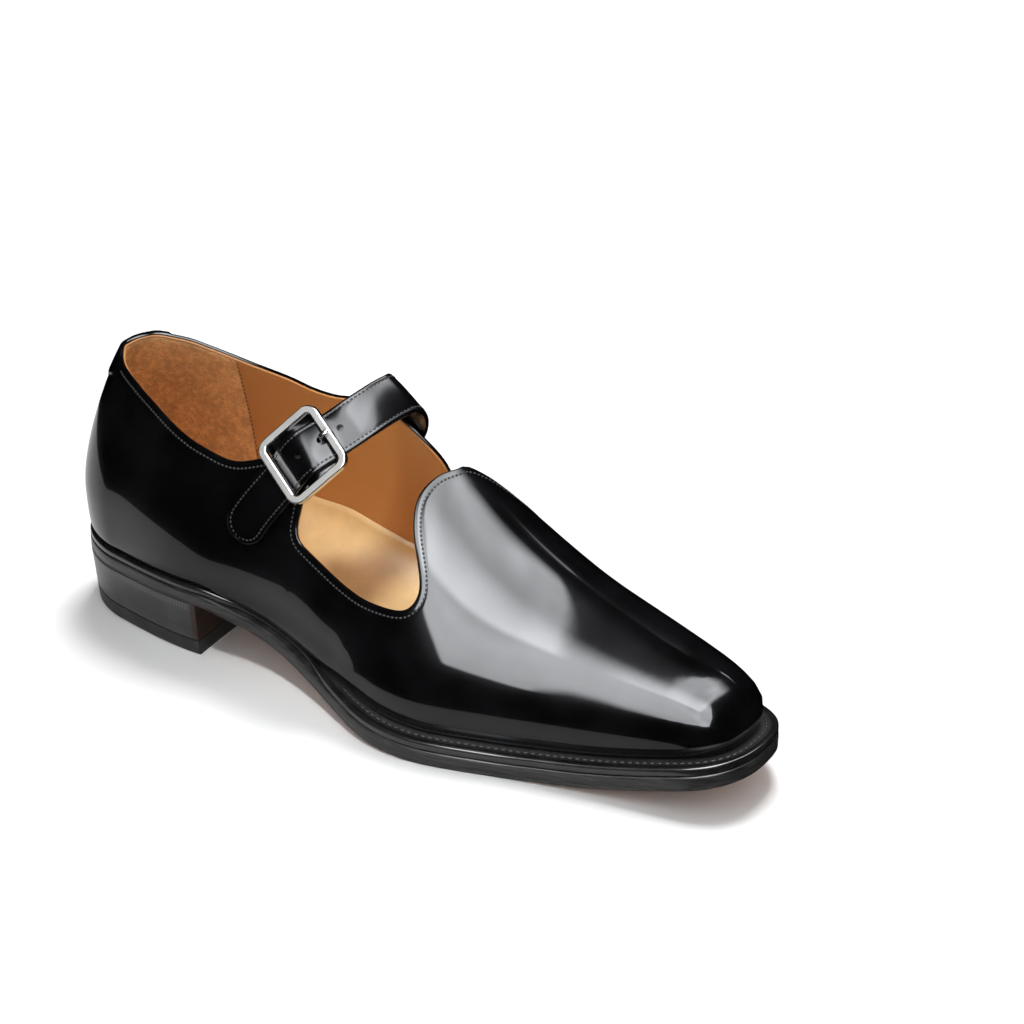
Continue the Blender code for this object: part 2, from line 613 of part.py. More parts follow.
def as_cutter(obj):
    """Hide a body that only shapes another one."""
    hidden = bpy.data.collections.get("cutters")
    if hidden is None:
        hidden = bpy.data.collections.new("cutters")
        bpy.context.scene.collection.children.link(hidden)
    bpy.context.scene.collection.objects.unlink(obj)
    hidden.objects.link(obj)
    obj.hide_render, obj.display_type = True, "WIRE"
    return obj


def shape_with(obj, cutter, operation):
    mod = obj.modifiers.new(cutter.name, "BOOLEAN")
    mod.operation, mod.solver, mod.object = operation, "EXACT", cutter


def arc(middle, radius, start, stop, count):
    """Points (s, h) on part of a circle, angles in degrees."""
    angles = [math.radians(start + (stop - start) * k / (count - 1)) for k in range(count)]
    return [(middle[0] + radius * math.cos(a), middle[1] + radius * math.sin(a)) for a in angles]


def build_buckle(frame, mat):
    """Square frame with a centre bar across it."""
    reach, r = (BUCKLE - BAR) / 2, CORNER - BAR / 2
    loop_points = []
    for sx, sy, start in ((1, 1, 0), (-1, 1, 90), (-1, -1, 180), (1, -1, 270)):
        loop_points += arc((sx * (reach - r), sy * (reach - r)), r, start, start + 90, 5)
        step = {0: (-1, 0), 90: (0, -1), 180: (1, 0), 270: (0, 1)}[start]
        side = 2 * (reach - r)
        last_s, last_a = loop_points[-1]
        loop_points += [(last_s + step[0] * side * k / 5, last_a + step[1] * side * k / 5)
                        for k in range(1, 5)]

    points = [frame.at(s, a, BAR_HEIGHT) for s, a in loop_points]
    obj = wire("buckle_frame", points, BAR, mat, closed=True)
    # the centre bar lies lower than the frame, so its ends are bent up to the side bars
    end = [(reach, BAR_HEIGHT), (reach - 0.5, BAR_HEIGHT - 0.6), (reach - 0.8, PIN_HEIGHT + 0.3),
           (reach - 1.5, PIN_HEIGHT)]
    bar = wire("centre_bar", [frame.at(0, -a, h) for a, h in end] + [frame.at(0, a, h) for a, h in end[::-1]],
               PIN_BAR, mat)
    shape_with(obj, as_cutter(bar), "UNION")
    return obj


def build_prong(frame, mat):
    """Bent round the centre bar, up through the strap and over the outer bar."""
    radius = PIN_BAR / 2 + 0.2 + PRONG / 2
    reach = (BUCKLE - BAR) / 2
    top = BAR_HEIGHT + BAR / 2 + PRONG / 2 + 0.15
    eye = arc((0, PIN_HEIGHT), radius, 50, 262, 12)
    shaft = along([(0.4, PIN_HEIGHT - radius), (4.0, 1.0), (7.2, 1.6), (8.6, 3.4), (9.3, 5.2),
                   (10.4, top - 0.2), (reach, top), (reach + 1.3, top - 0.1)], 16)
    return wire("buckle_prong", [frame.at(s, 0, h) for s, h in eye + [tuple(p) for p in shaft]],
                PRONG, mat)


def build_tab(last, frame, mat):
    """Leather that the buckle lies on, sewn to the quarter, with the loop that holds the centre bar."""
    rows, middle, _, across, _ = strap_run(last, 240)
    near = (middle - frame.origin) @ frame.run
    keep = np.flatnonzero((near > REST[0]) & (near < REST[1]) & (np.abs(rows[:, 1] - BUCKLE_AT[1]) < 20))[::5]
    rows, across = rows[keep], across[keep]
    sheet = []
    for lift, order in ((0.4, 1), (0.4 + REST_THICK, -1)):
        for k in np.linspace(-1, 1, 5)[::order]:
            x, girth = move_over(last, rows[:, 0], rows[:, 1], across * (REST_WIDTH / 2 * k))
            sheet.append(last.on(*last.place(x, girth), lift)[0])
    tab = filled("buckle_tab", [np.array([line[i] for line in sheet]) for i in range(len(rows))], mat)
    radius = PIN_BAR / 2 + 0.2 + TAB_THICK / 2
    flat = [(s, frame.skin(s) + 0.6 + TAB_THICK / 2) for s in (-8.8, -7.4, -6.0, -4.2)]
    run = along(flat + [(-2.4, 1.05)], 8)
    bend = arc((0, PIN_HEIGHT), radius, 262, 262 + 285, 18)
    line = np.concatenate([run[:-1], bend])
    d = np.gradient(line, axis=0)
    d /= np.linalg.norm(d, axis=1)[:, None]
    n = np.column_stack([-d[:, 1], d[:, 0]]) * TAB_THICK / 2
    rings = []
    for p, q in zip(line - n, line + n):
        rings.append(np.array([frame.at(s, a, h) for (s, h), a in
                               ((p, -TAB_WIDTH / 2), (p, TAB_WIDTH / 2), (q, TAB_WIDTH / 2),
                                (q, -TAB_WIDTH / 2))]))
    shape_with(tab, as_cutter(filled("tab_loop", rings, mat)), "UNION")
    slot = box("tab_slot", frame, (-3.2, 8.4), (-1.1, 1.1), (-1.4, 6.0), mat)
    shape_with(tab, as_cutter(slot), "DIFFERENCE")
    return tab


def box(name, frame, s, a, h, mat):
    low = [frame.at(*p, h[0]) for p in ((s[0], a[0]), (s[1], a[0]), (s[1], a[1]), (s[0], a[1]))]
    high = [p + frame.out * (h[1] - h[0]) for p in low]
    return filled(name, [np.array(low), np.array(high)], mat)


def punch(strap, frame, mat):
    """Holes through the strap, the first one for the prong."""
    for k, s in enumerate(HOLES):
        mid = frame.strap(s) + STRAP_THICK / 2
        way = np.array([s + 0.8, frame.strap(s + 0.8)]) - np.array([s - 0.8, frame.strap(s - 0.8)])
        way /= np.linalg.norm(way)
        ends = [frame.at(s - way[1] * k2, 0, mid + way[0] * k2) for k2 in (-3.2, 3.2)]
        pin = wire(f"strap_hole_{k + 1}", ends, HOLE if k == 0 else HOLE - 0.6, mat)
        shape_with(strap, as_cutter(pin), "DIFFERENCE")


def place_materials():
    return dict(
        leather=material("black_leather", (0.012, 0.012, 0.013), 0.22),
        edge=material("sole_edge", (0.02, 0.018, 0.018), 0.35),
        sock=material("tan_leather", (0.62, 0.40, 0.22), 0.6),
        stack=material("stacked_leather", (0.018, 0.016, 0.015), 0.3),
        lift=material("top_lift_rubber", (0.03, 0.028, 0.028), 0.55),
        metal=material("polished_steel", (0.75, 0.75, 0.76), 0.15, 1.0))


def main():
    for obj in list(bpy.data.objects):
        bpy.data.objects.remove(obj, do_unlink=True)
    mats = place_materials()
    last = Last()
    build_outsole(mats["edge"])
    build_welt(mats["edge"])
    build_heel(mats["stack"], mats["lift"])
    build_insole(mats["sock"])
    build_upper(last, mats["leather"])
    frame = BuckleFrame(last)
    strap = build_strap(last, mats["leather"])
    punch(strap, frame, mats["leather"])
    build_buckle(frame, mats["metal"])
    build_prong(frame, mats["metal"])
    build_tab(last, frame, mats["leather"])


main()
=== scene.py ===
"""Looks of a black calf monk strap shoe, right foot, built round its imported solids.

Lengths in the tables are millimetres, x from the back of the heel to the toe, +Y medial, +Z up."""

import math
from functools import cache

import bpy
import numpy as np
from mathutils import Matrix, Quaternion, Vector, kdtree


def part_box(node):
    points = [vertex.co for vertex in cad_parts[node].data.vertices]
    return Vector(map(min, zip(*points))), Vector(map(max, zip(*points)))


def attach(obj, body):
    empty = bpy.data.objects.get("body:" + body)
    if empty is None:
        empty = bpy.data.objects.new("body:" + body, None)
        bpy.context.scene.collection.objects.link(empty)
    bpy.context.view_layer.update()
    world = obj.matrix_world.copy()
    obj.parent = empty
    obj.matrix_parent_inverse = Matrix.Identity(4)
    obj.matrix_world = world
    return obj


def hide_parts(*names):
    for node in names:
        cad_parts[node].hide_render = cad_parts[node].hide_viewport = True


bl_info = {
    "name": "Monk Strap Shoe Finish",
    "version": (1, 0, 0),
    "blender": (4, 5, 0),
    "location": "View3D > Sidebar > Shoe",
    "description": "Upper, lining, strap, buckle, sole and stitching of a monk strap shoe",
    "category": "Object",
}

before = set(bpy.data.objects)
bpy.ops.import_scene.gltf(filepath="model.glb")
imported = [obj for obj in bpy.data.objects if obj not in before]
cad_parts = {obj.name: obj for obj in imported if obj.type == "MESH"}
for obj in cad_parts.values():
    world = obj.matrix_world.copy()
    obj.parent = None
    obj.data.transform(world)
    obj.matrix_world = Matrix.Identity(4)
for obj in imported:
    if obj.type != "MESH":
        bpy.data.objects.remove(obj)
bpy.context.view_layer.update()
MM = 0.001                     # shoe millimetres to metres
LENGTH = round((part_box("outsole")[1].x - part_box("outsole")[0].x) / MM, 1)
GAP = 0.3                      # clearance between neighbouring pieces
HEEL_ROUND, HEEL_POWER = 29.0, 2.0
TOE_ROUND, TOE_POWER = 22.0, 2.6
SPINE = (31.0, 265.0)          # ridge of the last, first and last point
SKIN, WALL = 1.2, 2.0          # outer leather, and leather with its lining
INSOLE = 3.0
HEEL_TAB = (18.0, 14.0, 0.7)   # reinforcement at the collar back: to each side, downwards, thickness
WELT_WIDTH = 13.0
WAIST, WAIST_SPREAD = 105.0, 26.0      # middle of the drawn-in waist, and its reach
WELT_CHANNEL, WELT_SEWN_FROM = 4.3, 146.0      # stitch row: in from the rim, and its first place
BREAST, BREAST_HOLLOW = 73.0, 2.0
HEEL_TAPER, TOP_LIFT = 1.6, 6.0
HEEL_LAYER, WHEEL_PITCH = 5.3, 1.25    # leather layers of the heel, and its wheel marks
SEAT_BAND, BREAST_FACE = (0.0188, 0.0196), (-0.0784, -0.0776)  # heights and lengths in metres, on the heel

# outsole half widths at a distance from the back of the heel
OUTLINE = (
    # x, lateral, medial
    (0, 28.0, 28.0), (14, 28.3, 28.2), (26, 29.8, 28.9), (40, 32.4, 30.3), (57, 34.9, 31.3),
    (72, 35.5, 31.2), (87, 34.4, 29.6), (101, 34.3, 28.2), (113, 35.8, 27.8), (125, 38.8, 29.0),
    (137, 42.8, 31.6), (149, 47.4, 35.4), (160, 50.8, 39.2), (172, 52.0, 43.2), (185, 50.8, 46.8),
    (199, 47.4, 49.2), (213, 43.2, 49.2), (227, 39.5, 46.6), (242, 35.9, 42.0), (257, 32.4, 35.8),
    (272, 28.9, 28.8), (285, 25.8, 22.6), (297, 23.5, 18.5))

PROFILE = (
    # x, underside, outsole, welt, lateral margin, medial margin
    (0, 22.4, 5.0, 2.6, 1.5, 1.5), (37, 22.4, 5.0, 2.6, 1.8, 1.6), (73, 22.3, 5.0, 2.6, 2.2, 1.6),
    (87, 19.9, 5.0, 2.3, 2.6, 1.6), (101, 17.3, 5.1, 2.1, 2.8, 1.8), (115, 13.8, 5.2, 2.1, 3.2, 2.2),
    (129, 9.8, 5.4, 2.4, 4.0, 3.0), (143, 6.0, 5.6, 2.8, 5.4, 4.2), (157, 2.9, 5.7, 3.2, 6.6, 5.6),
    (171, 0.8, 5.8, 3.2, 7.0, 6.6), (185, 0.0, 5.8, 3.2, 7.0, 7.0), (211, 0.0, 5.8, 3.2, 7.0, 7.0),
    (227, 0.9, 5.8, 3.2, 7.0, 7.0), (242, 2.2, 5.8, 3.2, 7.0, 7.0), (257, 4.4, 5.8, 3.2, 7.0, 7.0),
    (277, 8.5, 5.8, 3.2, 7.0, 7.0), (297, 13.0, 5.8, 3.2, 7.0, 7.0))

# half sections of the last, feather line to ridge
SECTIONS = (
    # x, ridge height, ridge offset, bulge lat, bulge med, bulge height, rise lat, rise med,
    # crown lat, crown med
    (0, 117.5, 0.0, 1.5, 1.5, 18, .28, .28, .44, .44),
    (22, 119.5, 1.0, 2.2, 2.0, 18, .32, .34, .42, .42),
    (47, 121.5, 3.0, 3.0, 2.6, 18, .38, .42, .42, .44),
    (72, 123, 5.0, 3.2, 3.0, 17, .40, .44, .42, .46),
    (97, 122, 6.0, 3.2, 3.0, 16, .40, .45, .40, .45),
    (122, 116.5, 7.0, 3.0, 3.0, 15, .38, .42, .40, .42),
    (147, 99.3, 8.0, 2.8, 2.8, 14, .38, .42, .42, .42),
    (172, 86.3, 7.0, 2.6, 2.6, 12, .40, .48, .45, .52),
    (197, 72.2, 6.3, 2.4, 2.2, 11, .42, .38, .50, .50),
    (222, 61, 5.0, 2.2, 1.6, 10, .45, .34, .52, .44),
    (247, 53.5, 3.0, 2.0, 1.4, 9, .50, .38, .55, .50),
    (272, 47.6, 1.0, 1.8, 1.3, 8, .50, .46, .55, .56),
    (297, 42, 0.0, 1.4, 1.3, 8, .50, .50, .54, .58))

# edge of the opening: place along the ridge, girth down from the ridge, place along the sole
LATERAL_EDGE = (
    # x, down, foot
    (31, 19.8, 0), (34, 21.8, 3.2), (37, 24.7, 6), (42, 28.3, 11), (53, 34.6, 24),
    (64, 41.0, 39), (75, 47.6, 53), (85, 52.3, 65), (95, 54.5, 78), (103, 53.2, 88), (109, 49.5, 95),
    (115, 47.0, 101), (121.5, 48.5, 109), (126, 56.0, 115), (126, 65.0, 119), (131, 71.0, 127),
    (143, 69.4, 141), (155, 66.6, 157), (165, 62.3, 179), (170.8, 56.5, 205), (172, 48.0, 229),
    (168.5, 40.5, 247), (163.6, 32.0, 264), (161.2, 23.5, 278), (162.1, 15.0, 289), (164.6, 7.0, 295))
MEDIAL_EDGE = (
    # x, down, foot
    (31, 19.8, 0), (34, 18.7, 3.2), (37, 18.6, 6), (42, 20.6, 11), (52, 24.9, 24),
    (63, 30.4, 39), (74, 35.0, 53), (85, 37.4, 65), (95, 37.9, 78), (103, 36.8, 87), (110, 34.4, 94),
    (117, 30.2, 101), (124, 25.4, 108), (131, 22.6, 114), (138, 21.3, 120), (145.3, 22.0, 126),
    (149.6, 26.0, 131), (151.3, 33.0, 136), (152.3, 41.0, 142), (155.6, 47.5, 151), (162, 49.5, 163),
    (170, 46.5, 179), (176.8, 40.0, 199), (180.3, 31.5, 221), (180.1, 23.0, 242), (176.8, 15.0, 262),
    (171.8, 8.5, 280), (168.4, 3.6, 292))
EDGE_PEAK = (166.7, 297.0)     # lobe of the vamp: place along the ridge, place along the sole
FOOT_WEIGHT = 200.0

# middle line of the strap, tip first: place along the ridge, girth (lateral negative), lift
STRAP = (
    # x, girth, lift
    (107.6, -80.6, 0.35), (110.8, -70.6, 0.35), (114.6, -61.6, 0.45), (119.2, -51.3, 1.5),
    (124.6, -40.2, 5.6), (129.6, -29.0, 1.5), (133.4, -20.0, 0.9), (136.0, -12.5, 0.6),
    (138.0, -4.0, 0.5), (138.8, 5.0, 0.6), (138.4, 13.5, 0.6), (136.4, 23.0, 0.4),
    (133.6, 31.5, 0.35), (130.6, 39.5, 0.35))
BUCKLE_AT = (124.6, -40.2)     # middle of the centre bar
HOLE = 3.2             # strap holes
HOLES = (9.0, -1.2, 16.2)      # from the centre bar towards the ridge
BUCKLE, BAR, CORNER = 28.0, 3.0, 5.0   # square frame, its bar and corner radius
BAR_HEIGHT, PIN_HEIGHT = 5.3, 2.9      # outer bars and centre bar above the quarter
PIN_BAR, PRONG = 1.7, 1.5
TAB_THICK, TAB_WIDTH = 0.7, 17.0       # loop round the centre bar
# leather below the strap: from, to, front and back side, thickness
REST = (-11.5, 11.2, -10.4, 13.8, 0.75)

# how far the sock turns up the walls above the insole
SOCK = (
    # x, lateral, medial
    (0, 2.0, 2.0), (30, 2.0, 2.5), (60, 2.5, 6.0), (85, 3.0, 12.0), (108, 3.5, 16.5), (132, 3.5, 15.5),
    (160, 3.0, 10.0), (195, 2.0, 4.0), (297, 1.0, 1.0))


# --------------------------------------------------------------------------------- settings
class ShoeSizes(bpy.types.PropertyGroup):
    strap_width: bpy.props.FloatProperty(
        name="Strap width", description="Width of the strap, in millimetres", default=17.0, min=10, max=24)
    strap_thickness: bpy.props.FloatProperty(
        name="Strap thickness", description="Leather and lining of the strap, in millimetres", default=2.2,
        min=1.5, max=3)
    stitch_pitch: bpy.props.FloatProperty(
        name="Stitch pitch", description="From stitch to stitch on the upper, in millimetres", default=1.65,
        min=1.2, max=4)
    welt_pitch: bpy.props.FloatProperty(
        name="Welt stitch pitch", description="From stitch to stitch on the welt, in millimetres",
        default=2.7, min=1.5, max=5)
    edge_margin: bpy.props.FloatProperty(
        name="Stitch margin", description="From the topline to its row of stitches, in millimetres",
        default=2.3, min=1, max=4)


class ShoeFinish(bpy.types.PropertyGroup):
    calf: bpy.props.FloatVectorProperty(
        name="Calf", description="Colour of the polished upper leather", subtype="COLOR",
        default=(0.0022, 0.0022, 0.0026), min=0, max=1)
    lining: bpy.props.FloatVectorProperty(
        name="Lining", description="Colour of the smooth lining", subtype="COLOR",
        default=(0.42, 0.182, 0.05), min=0, max=1)
    suede: bpy.props.FloatVectorProperty(
        name="Heel lining", description="Colour of the rough heel lining", subtype="COLOR",
        default=(0.76, 0.41, 0.175), min=0, max=1)
    sock: bpy.props.FloatVectorProperty(
        name="Sock", description="Colour of the sock over the insole", subtype="COLOR",
        default=(0.86, 0.62, 0.30), min=0, max=1)
    sole: bpy.props.FloatVectorProperty(
        name="Sole leather", description="Colour of the sole's underside", subtype="COLOR",
        default=(0.30, 0.13, 0.06), min=0, max=1)
    steel: bpy.props.FloatVectorProperty(
        name="Steel", description="Colour of the polished buckle", subtype="COLOR",
        default=(0.78, 0.77, 0.75), min=0, max=1)
    floor: bpy.props.FloatVectorProperty(
        name="Floor", description="Colour of the studio floor", subtype="COLOR",
        default=(0.9, 0.9, 0.9), min=0, max=1)


def sizes():
    return bpy.context.scene.shoe_sizes


def finish():
    return bpy.context.scene.shoe_finish


# --------------------------------------------------------------------------------- curves
def cubic(xs, ys, slopes, x):
    """Cubic through points with a given slope at each."""
    x = np.clip(np.asarray(x, float), xs[0], xs[-1])
    k = np.clip(np.searchsorted(xs, x) - 1, 0, len(xs) - 2)
    h = xs[k + 1] - xs[k]
    t = (x - xs[k]) / h
    return (ys[k] * (1 + 2 * t) * (1 - t) ** 2 + h * slopes[k] * t * (1 - t) ** 2
            + ys[k + 1] * t * t * (3 - 2 * t) + h * slopes[k + 1] * t * t * (t - 1))


def natural(rows, column, x):
    """Natural cubic spline through one column of a table."""
    xs, ys = np.array([(row[0], row[column]) for row in rows], float).T
    n, h, d = len(xs), np.diff(xs), np.diff(ys) / np.diff(xs)
    a, b = np.eye(n), np.zeros(n)
    for i in range(1, n - 1):
        a[i, i - 1:i + 2] = h[i - 1], 2 * (h[i - 1] + h[i]), h[i]
        b[i] = 6 * (d[i] - d[i - 1])
    m = np.linalg.solve(a, b)
    last = d[-1] + h[-1] * (m[-2] + 2 * m[-1]) / 6
    return cubic(xs, ys, np.r_[d - h * (2 * m[:-1] + m[1:]) / 6, last], x)


def monotone(rows, column, x):
    """Cubic through one column that never overshoots, so level rows stay level."""
    xs, ys = np.array([(row[0], row[column]) for row in rows], float).T
    h, d = np.diff(xs), np.diff(ys) / np.diff(xs)
    slopes = np.r_[0.0, np.zeros(len(xs) - 2), d[-1]]
    for i in range(1, len(xs) - 1):
        if d[i - 1] * d[i] > 0:
            w1, w2 = 2 * h[i] + h[i - 1], h[i] + 2 * h[i - 1]
            slopes[i] = (w1 + w2) / (w1 / d[i - 1] + w2 / d[i])
    return cubic(xs, ys, slopes, x)


def run_length(points):
    return np.r_[0, np.cumsum(np.linalg.norm(np.diff(points, axis=0), axis=1))]


def read(at, s, table):
    """Rows of a table at places along s."""
    return np.stack([np.interp(at, s, column) for column in table.T], -1)


def along(points, steps, guide=0):
    """Points spaced evenly by length on a smooth curve through the given ones.

    The first and last few, guide of them, only steer the ends; steps may be shares of the length."""
    points = np.asarray(points, float)
    s = run_length(points)
    rows = np.column_stack([s, points])
    dense = np.linspace(s[guide], s[-1 - guide], 40 * len(points))
    fine = np.column_stack([natural(rows, c + 1, dense) for c in range(points.shape[1])])
    length = run_length(fine)
    at = np.linspace(0, length[-1], steps) if np.isscalar(steps) else np.asarray(steps) * length[-1]
    return read(at, length, fine)


def bezier(a, b, c, d, t):
    return (1 - t) ** 3 * a + 3 * t * (1 - t) ** 2 * b + 3 * t * t * (1 - t) * c + t ** 3 * d


def unit(v):
    return v / np.maximum(np.linalg.norm(v, axis=-1), 1e-12)[..., None]


# --------------------------------------------------------------------------------- outlines
def half_width(x, side):
    """Outsole half width; side is -1 lateral, 1 medial."""
    width = natural(OUTLINE, 1 if side < 0 else 2, x)
    back = np.clip(1 - x / HEEL_ROUND, 0, 1)
    front = np.clip(1 - (LENGTH - x) / TOE_ROUND, 0, 1)
    return (width * (1 - back ** HEEL_POWER) ** (1 / HEEL_POWER)
            * (1 - front ** TOE_POWER) ** (1 / TOE_POWER))


def side_line(side, inset=0.0, start=0.0, stop=LENGTH, steps=400):
    """One side of the sole's outline moved inwards; inset is a number or a function of x."""
    s = np.linspace(0, 1, steps)
    x = start + (stop - start) * (1 - np.cos(np.pi * s)) / 2
    line = np.column_stack([x, side * half_width(x, side)])
    run = np.gradient(line, axis=0)
    if start == 0:
        run[0] = 0, side
    if stop == LENGTH:
        run[-1] = 0, -side
    run /= np.linalg.norm(run, axis=1)[:, None]
    amount = inset(x) if callable(inset) else np.full(steps, float(inset))
    return line + np.column_stack([run[:, 1], -run[:, 0]]) * (side * amount)[:, None]


def margin(side):
    return lambda x: monotone(PROFILE, 4 if side < 0 else 5, x)


def underside(x):
    return monotone(PROFILE, 1, x)


def outsole_top(x):
    return underside(x) + monotone(PROFILE, 2, x)


def welt_top(x):
    return outsole_top(x) + GAP + monotone(PROFILE, 3, x)


def insole_top(x):
    return welt_top(x) + GAP + INSOLE


def waist_tuck(side):
    """How far the welt is drawn in, most at the waist."""
    def amount(x):
        here = np.exp(-((x - WAIST) / WAIST_SPREAD) ** 4)
        return 0.15 + here * (margin(side)(x) - 0.4)
    return amount


# --------------------------------------------------------------------------------- the last
class HalfLast:
    """One half of the outside form, feather line to ridge, sampled on a fine grid."""

    ACROSS, UP = 320, 161

    def __init__(self, side):
        self.side = side
        line = side_line(side, margin(side), steps=900)
        keep = np.r_[True, np.linalg.norm(np.diff(line, axis=0), axis=1) > 1e-9]
        line = line[keep]
        length = run_length(line)
        at = np.linspace(0, length[-1], self.ACROSS)
        foot = read(at, length, line)
        x = foot[:, 0]
        share = (x - x[0]) / (x[-1] - x[0])
        col = {name: natural(SECTIONS, c, x)[:, None] for name, c in dict(
            ridge=1, offset=2, bulge=3 if side < 0 else 4, low=5,
            rise=6 if side < 0 else 7, crown=8 if side < 0 else 9).items()}
        head = np.column_stack([SPINE[0] + (SPINE[1] - SPINE[0]) * share, col["offset"][:, 0]])
        reach = np.linalg.norm(head - foot, axis=1)[:, None]
        base = (welt_top(x) + GAP)[:, None]
        belly, t = base + col["low"], np.linspace(0, 1, 121)[None]
        out, top = -col["bulge"], col["ridge"]
        r = np.concatenate([bezier(0 * base, .55 * out, out, out, t),
                            bezier(out, out, reach - col["crown"] * (reach - out), reach, t)[:, 1:]], 1)
        z = np.concatenate([bezier(base, base, belly - .55 * col["low"], belly, t),
                            bezier(belly, belly + col["rise"] * (top - belly), top, top, t)[:, 1:]], 1)
        arc = np.concatenate([0 * base, np.cumsum(np.hypot(np.diff(r), np.diff(z)), axis=1)], 1)
        share_up = np.linspace(0, 1, self.UP)
        r, z = (np.array([np.interp(share_up * run[-1], run, row) for run, row in zip(arc, rows)])
                for rows in (r, z))
        way = (head - foot) / reach
        self.grid = np.concatenate([foot[:, None] + way[:, None] * r[..., None], z[..., None]], -1)
        self.foot, self.head, self.girth = foot, head, arc[:, -1]
        self.crest = np.column_stack([head[:, 0], 0 * x])
        a, b = np.gradient(self.grid, axis=0), np.gradient(self.grid, axis=1)
        self.normal = np.cross(a, b) * -side
        self.normal[:, 0] = (0, 0, -1)
        self.normal = unit(self.normal)

    def sample(self, grid, u, t):
        """Value on a grid at u along the outline and t up the section, both as shares."""
        n, m = grid.shape[:2]
        u, t = np.clip(u, 0, 1) * (n - 1), np.clip(t, 0, 1) * (m - 1)
        i, j = np.minimum(u.astype(int), n - 2), np.minimum(t.astype(int), m - 2)
        p, q = (u - i)[..., None], (t - j)[..., None]
        return (grid[i, j] * (1 - p) * (1 - q) + grid[i + 1, j] * p * (1 - q)
                + grid[i, j + 1] * (1 - p) * q + grid[i + 1, j + 1] * p * q)

    def share(self, column, value):
        return np.interp(value, column, np.linspace(0, 1, len(column)))

    def full(self, u):
        """Girth from the ridge to the feather line."""
        return np.interp(u, np.linspace(0, 1, len(self.girth)), self.girth)

    def flat(self, u, t):
        """Place on the flattened pattern."""
        at = np.linspace(0, 1, len(self.foot))
        foot, head = read(u, at, self.foot), read(u, at, self.crest)
        return foot + (head - foot) * np.asarray(t)[:, None]


class Last:
    """Both halves, with the ridge shared; a place is (side, u, t) or (x, girth)."""

    def __init__(self):
        self.half = {-1: HalfLast(-1), 1: HalfLast(1)}
        a, b = self.half[-1], self.half[1]
        crest = np.zeros((HalfLast.ACROSS, 3))
        for half, other in ((a, b), (b, a)):
            for c in range(3):
                crest[:, c] = np.interp(half.head[:, 0], other.head[:, 0], other.normal[:, -1, c])
            half.normal[:, -1] = unit(half.normal[:, -1] + crest)

    def place(self, x, girth):
        """Side, u and t of a point at x along the ridge and girth from it, lateral negative."""
        side = np.where(np.asarray(girth) < 0, -1, 1)
        u, t = np.zeros(len(side)), np.zeros(len(side))
        for s in (-1, 1):
            h, mine = self.half[s], side == s
            u[mine] = h.share(h.head[:, 0], np.asarray(x)[mine])
            t[mine] = 1 - np.abs(np.asarray(girth)[mine]) / h.full(u[mine])
        return side, u, t

    def on(self, side, u, t, lift=0.0):
        """Points on the form and its outward directions, moved out by lift."""
        point, way = np.zeros((len(u), 3)), np.zeros((len(u), 3))
        for s in (-1, 1):
            mine = side == s
            if mine.any():
                point[mine] = self.half[s].sample(self.half[s].grid, u[mine], t[mine])
                way[mine] = self.half[s].sample(self.half[s].normal, u[mine], t[mine])
        way = unit(way)
        return point + way * np.broadcast_to(lift, len(u))[:, None], way

    def unflat(self, side, q):
        """u and t of places on the flattened pattern, by halving on the section lines."""
        q, h = np.asarray(q, float), self.half[side]
        lo, hi = np.zeros(len(q)), np.ones(len(q))
        for _ in range(44):
            mid = (lo + hi) / 2
            foot, head = h.flat(mid, np.zeros(len(q))), h.flat(mid, np.ones(len(q)))
            turn = ((head - foot)[:, 0] * (q - foot)[:, 1] - (head - foot)[:, 1] * (q - foot)[:, 0])
            ahead = turn * side > 0
            lo, hi = np.where(ahead, mid, lo), np.where(ahead, hi, mid)
        foot, head = h.flat(mid, np.zeros(len(q))), h.flat(mid, np.ones(len(q)))
        reach = ((head - foot) ** 2).sum(1)
        return mid, np.clip(((q - foot) * (head - foot)).sum(1) / reach, 0, 1)

    def step(self, x, girth, across):
        """Places reached from (x, girth) by small steps across the form, given as directions."""
        def at(x, girth):
            return self.on(*self.place(x, girth))[0]
        ahead, down = (at(x + 1, girth) - at(x - 1, girth)) / 2, (at(x, girth + 1) - at(x, girth - 1)) / 2
        aa, dd, ad = (ahead ** 2).sum(1), (down ** 2).sum(1), (ahead * down).sum(1)
        pa, pd = (across * ahead).sum(1), (across * down).sum(1)
        det = aa * dd - ad ** 2
        return x + (pa * dd - pd * ad) / det, girth + (pd * aa - pa * ad) / det


def edge_line(last, side, steps):
    """Opening's edge on the flattened pattern, heel to the lobe, with the foot each rib runs to."""
    rows = LATERAL_EDGE if side < 0 else MEDIAL_EDGE
    half = last.half[side]
    x = np.array([r[0] for r in rows] + [EDGE_PEAK[0]], float)
    down = np.array([r[1] for r in rows] + [0.0], float)
    foot = np.array([r[2] for r in rows] + [EDGE_PEAK[1]], float)
    u = half.share(half.head[:, 0], x)
    flat = half.flat(u, 1 - down / half.full(u))
    line = np.column_stack([flat, half.share(half.foot[:, 0], foot) * FOOT_WEIGHT])
    before = line[3:0:-1] * (1, -1, -1)
    after = line[-2:-5:-1] * (1, -1, -1) + (0, 0, 2 * FOOT_WEIGHT)
    line = along(np.concatenate([before, line, after]), steps, 3)
    line[:, 2] /= FOOT_WEIGHT
    return line


LAST = Last()


# --------------------------------------------------------------------------------- making pieces
def deselect():
    for obj in list(bpy.context.selected_objects):
        obj.select_set(False)


def active(obj):
    deselect()
    obj.select_set(True)
    bpy.context.view_layer.objects.active = obj


def in_metres(points):
    points = np.asarray(points, float).reshape(-1, 3)
    return (points - (LENGTH / 2, 0, 0)) * MM


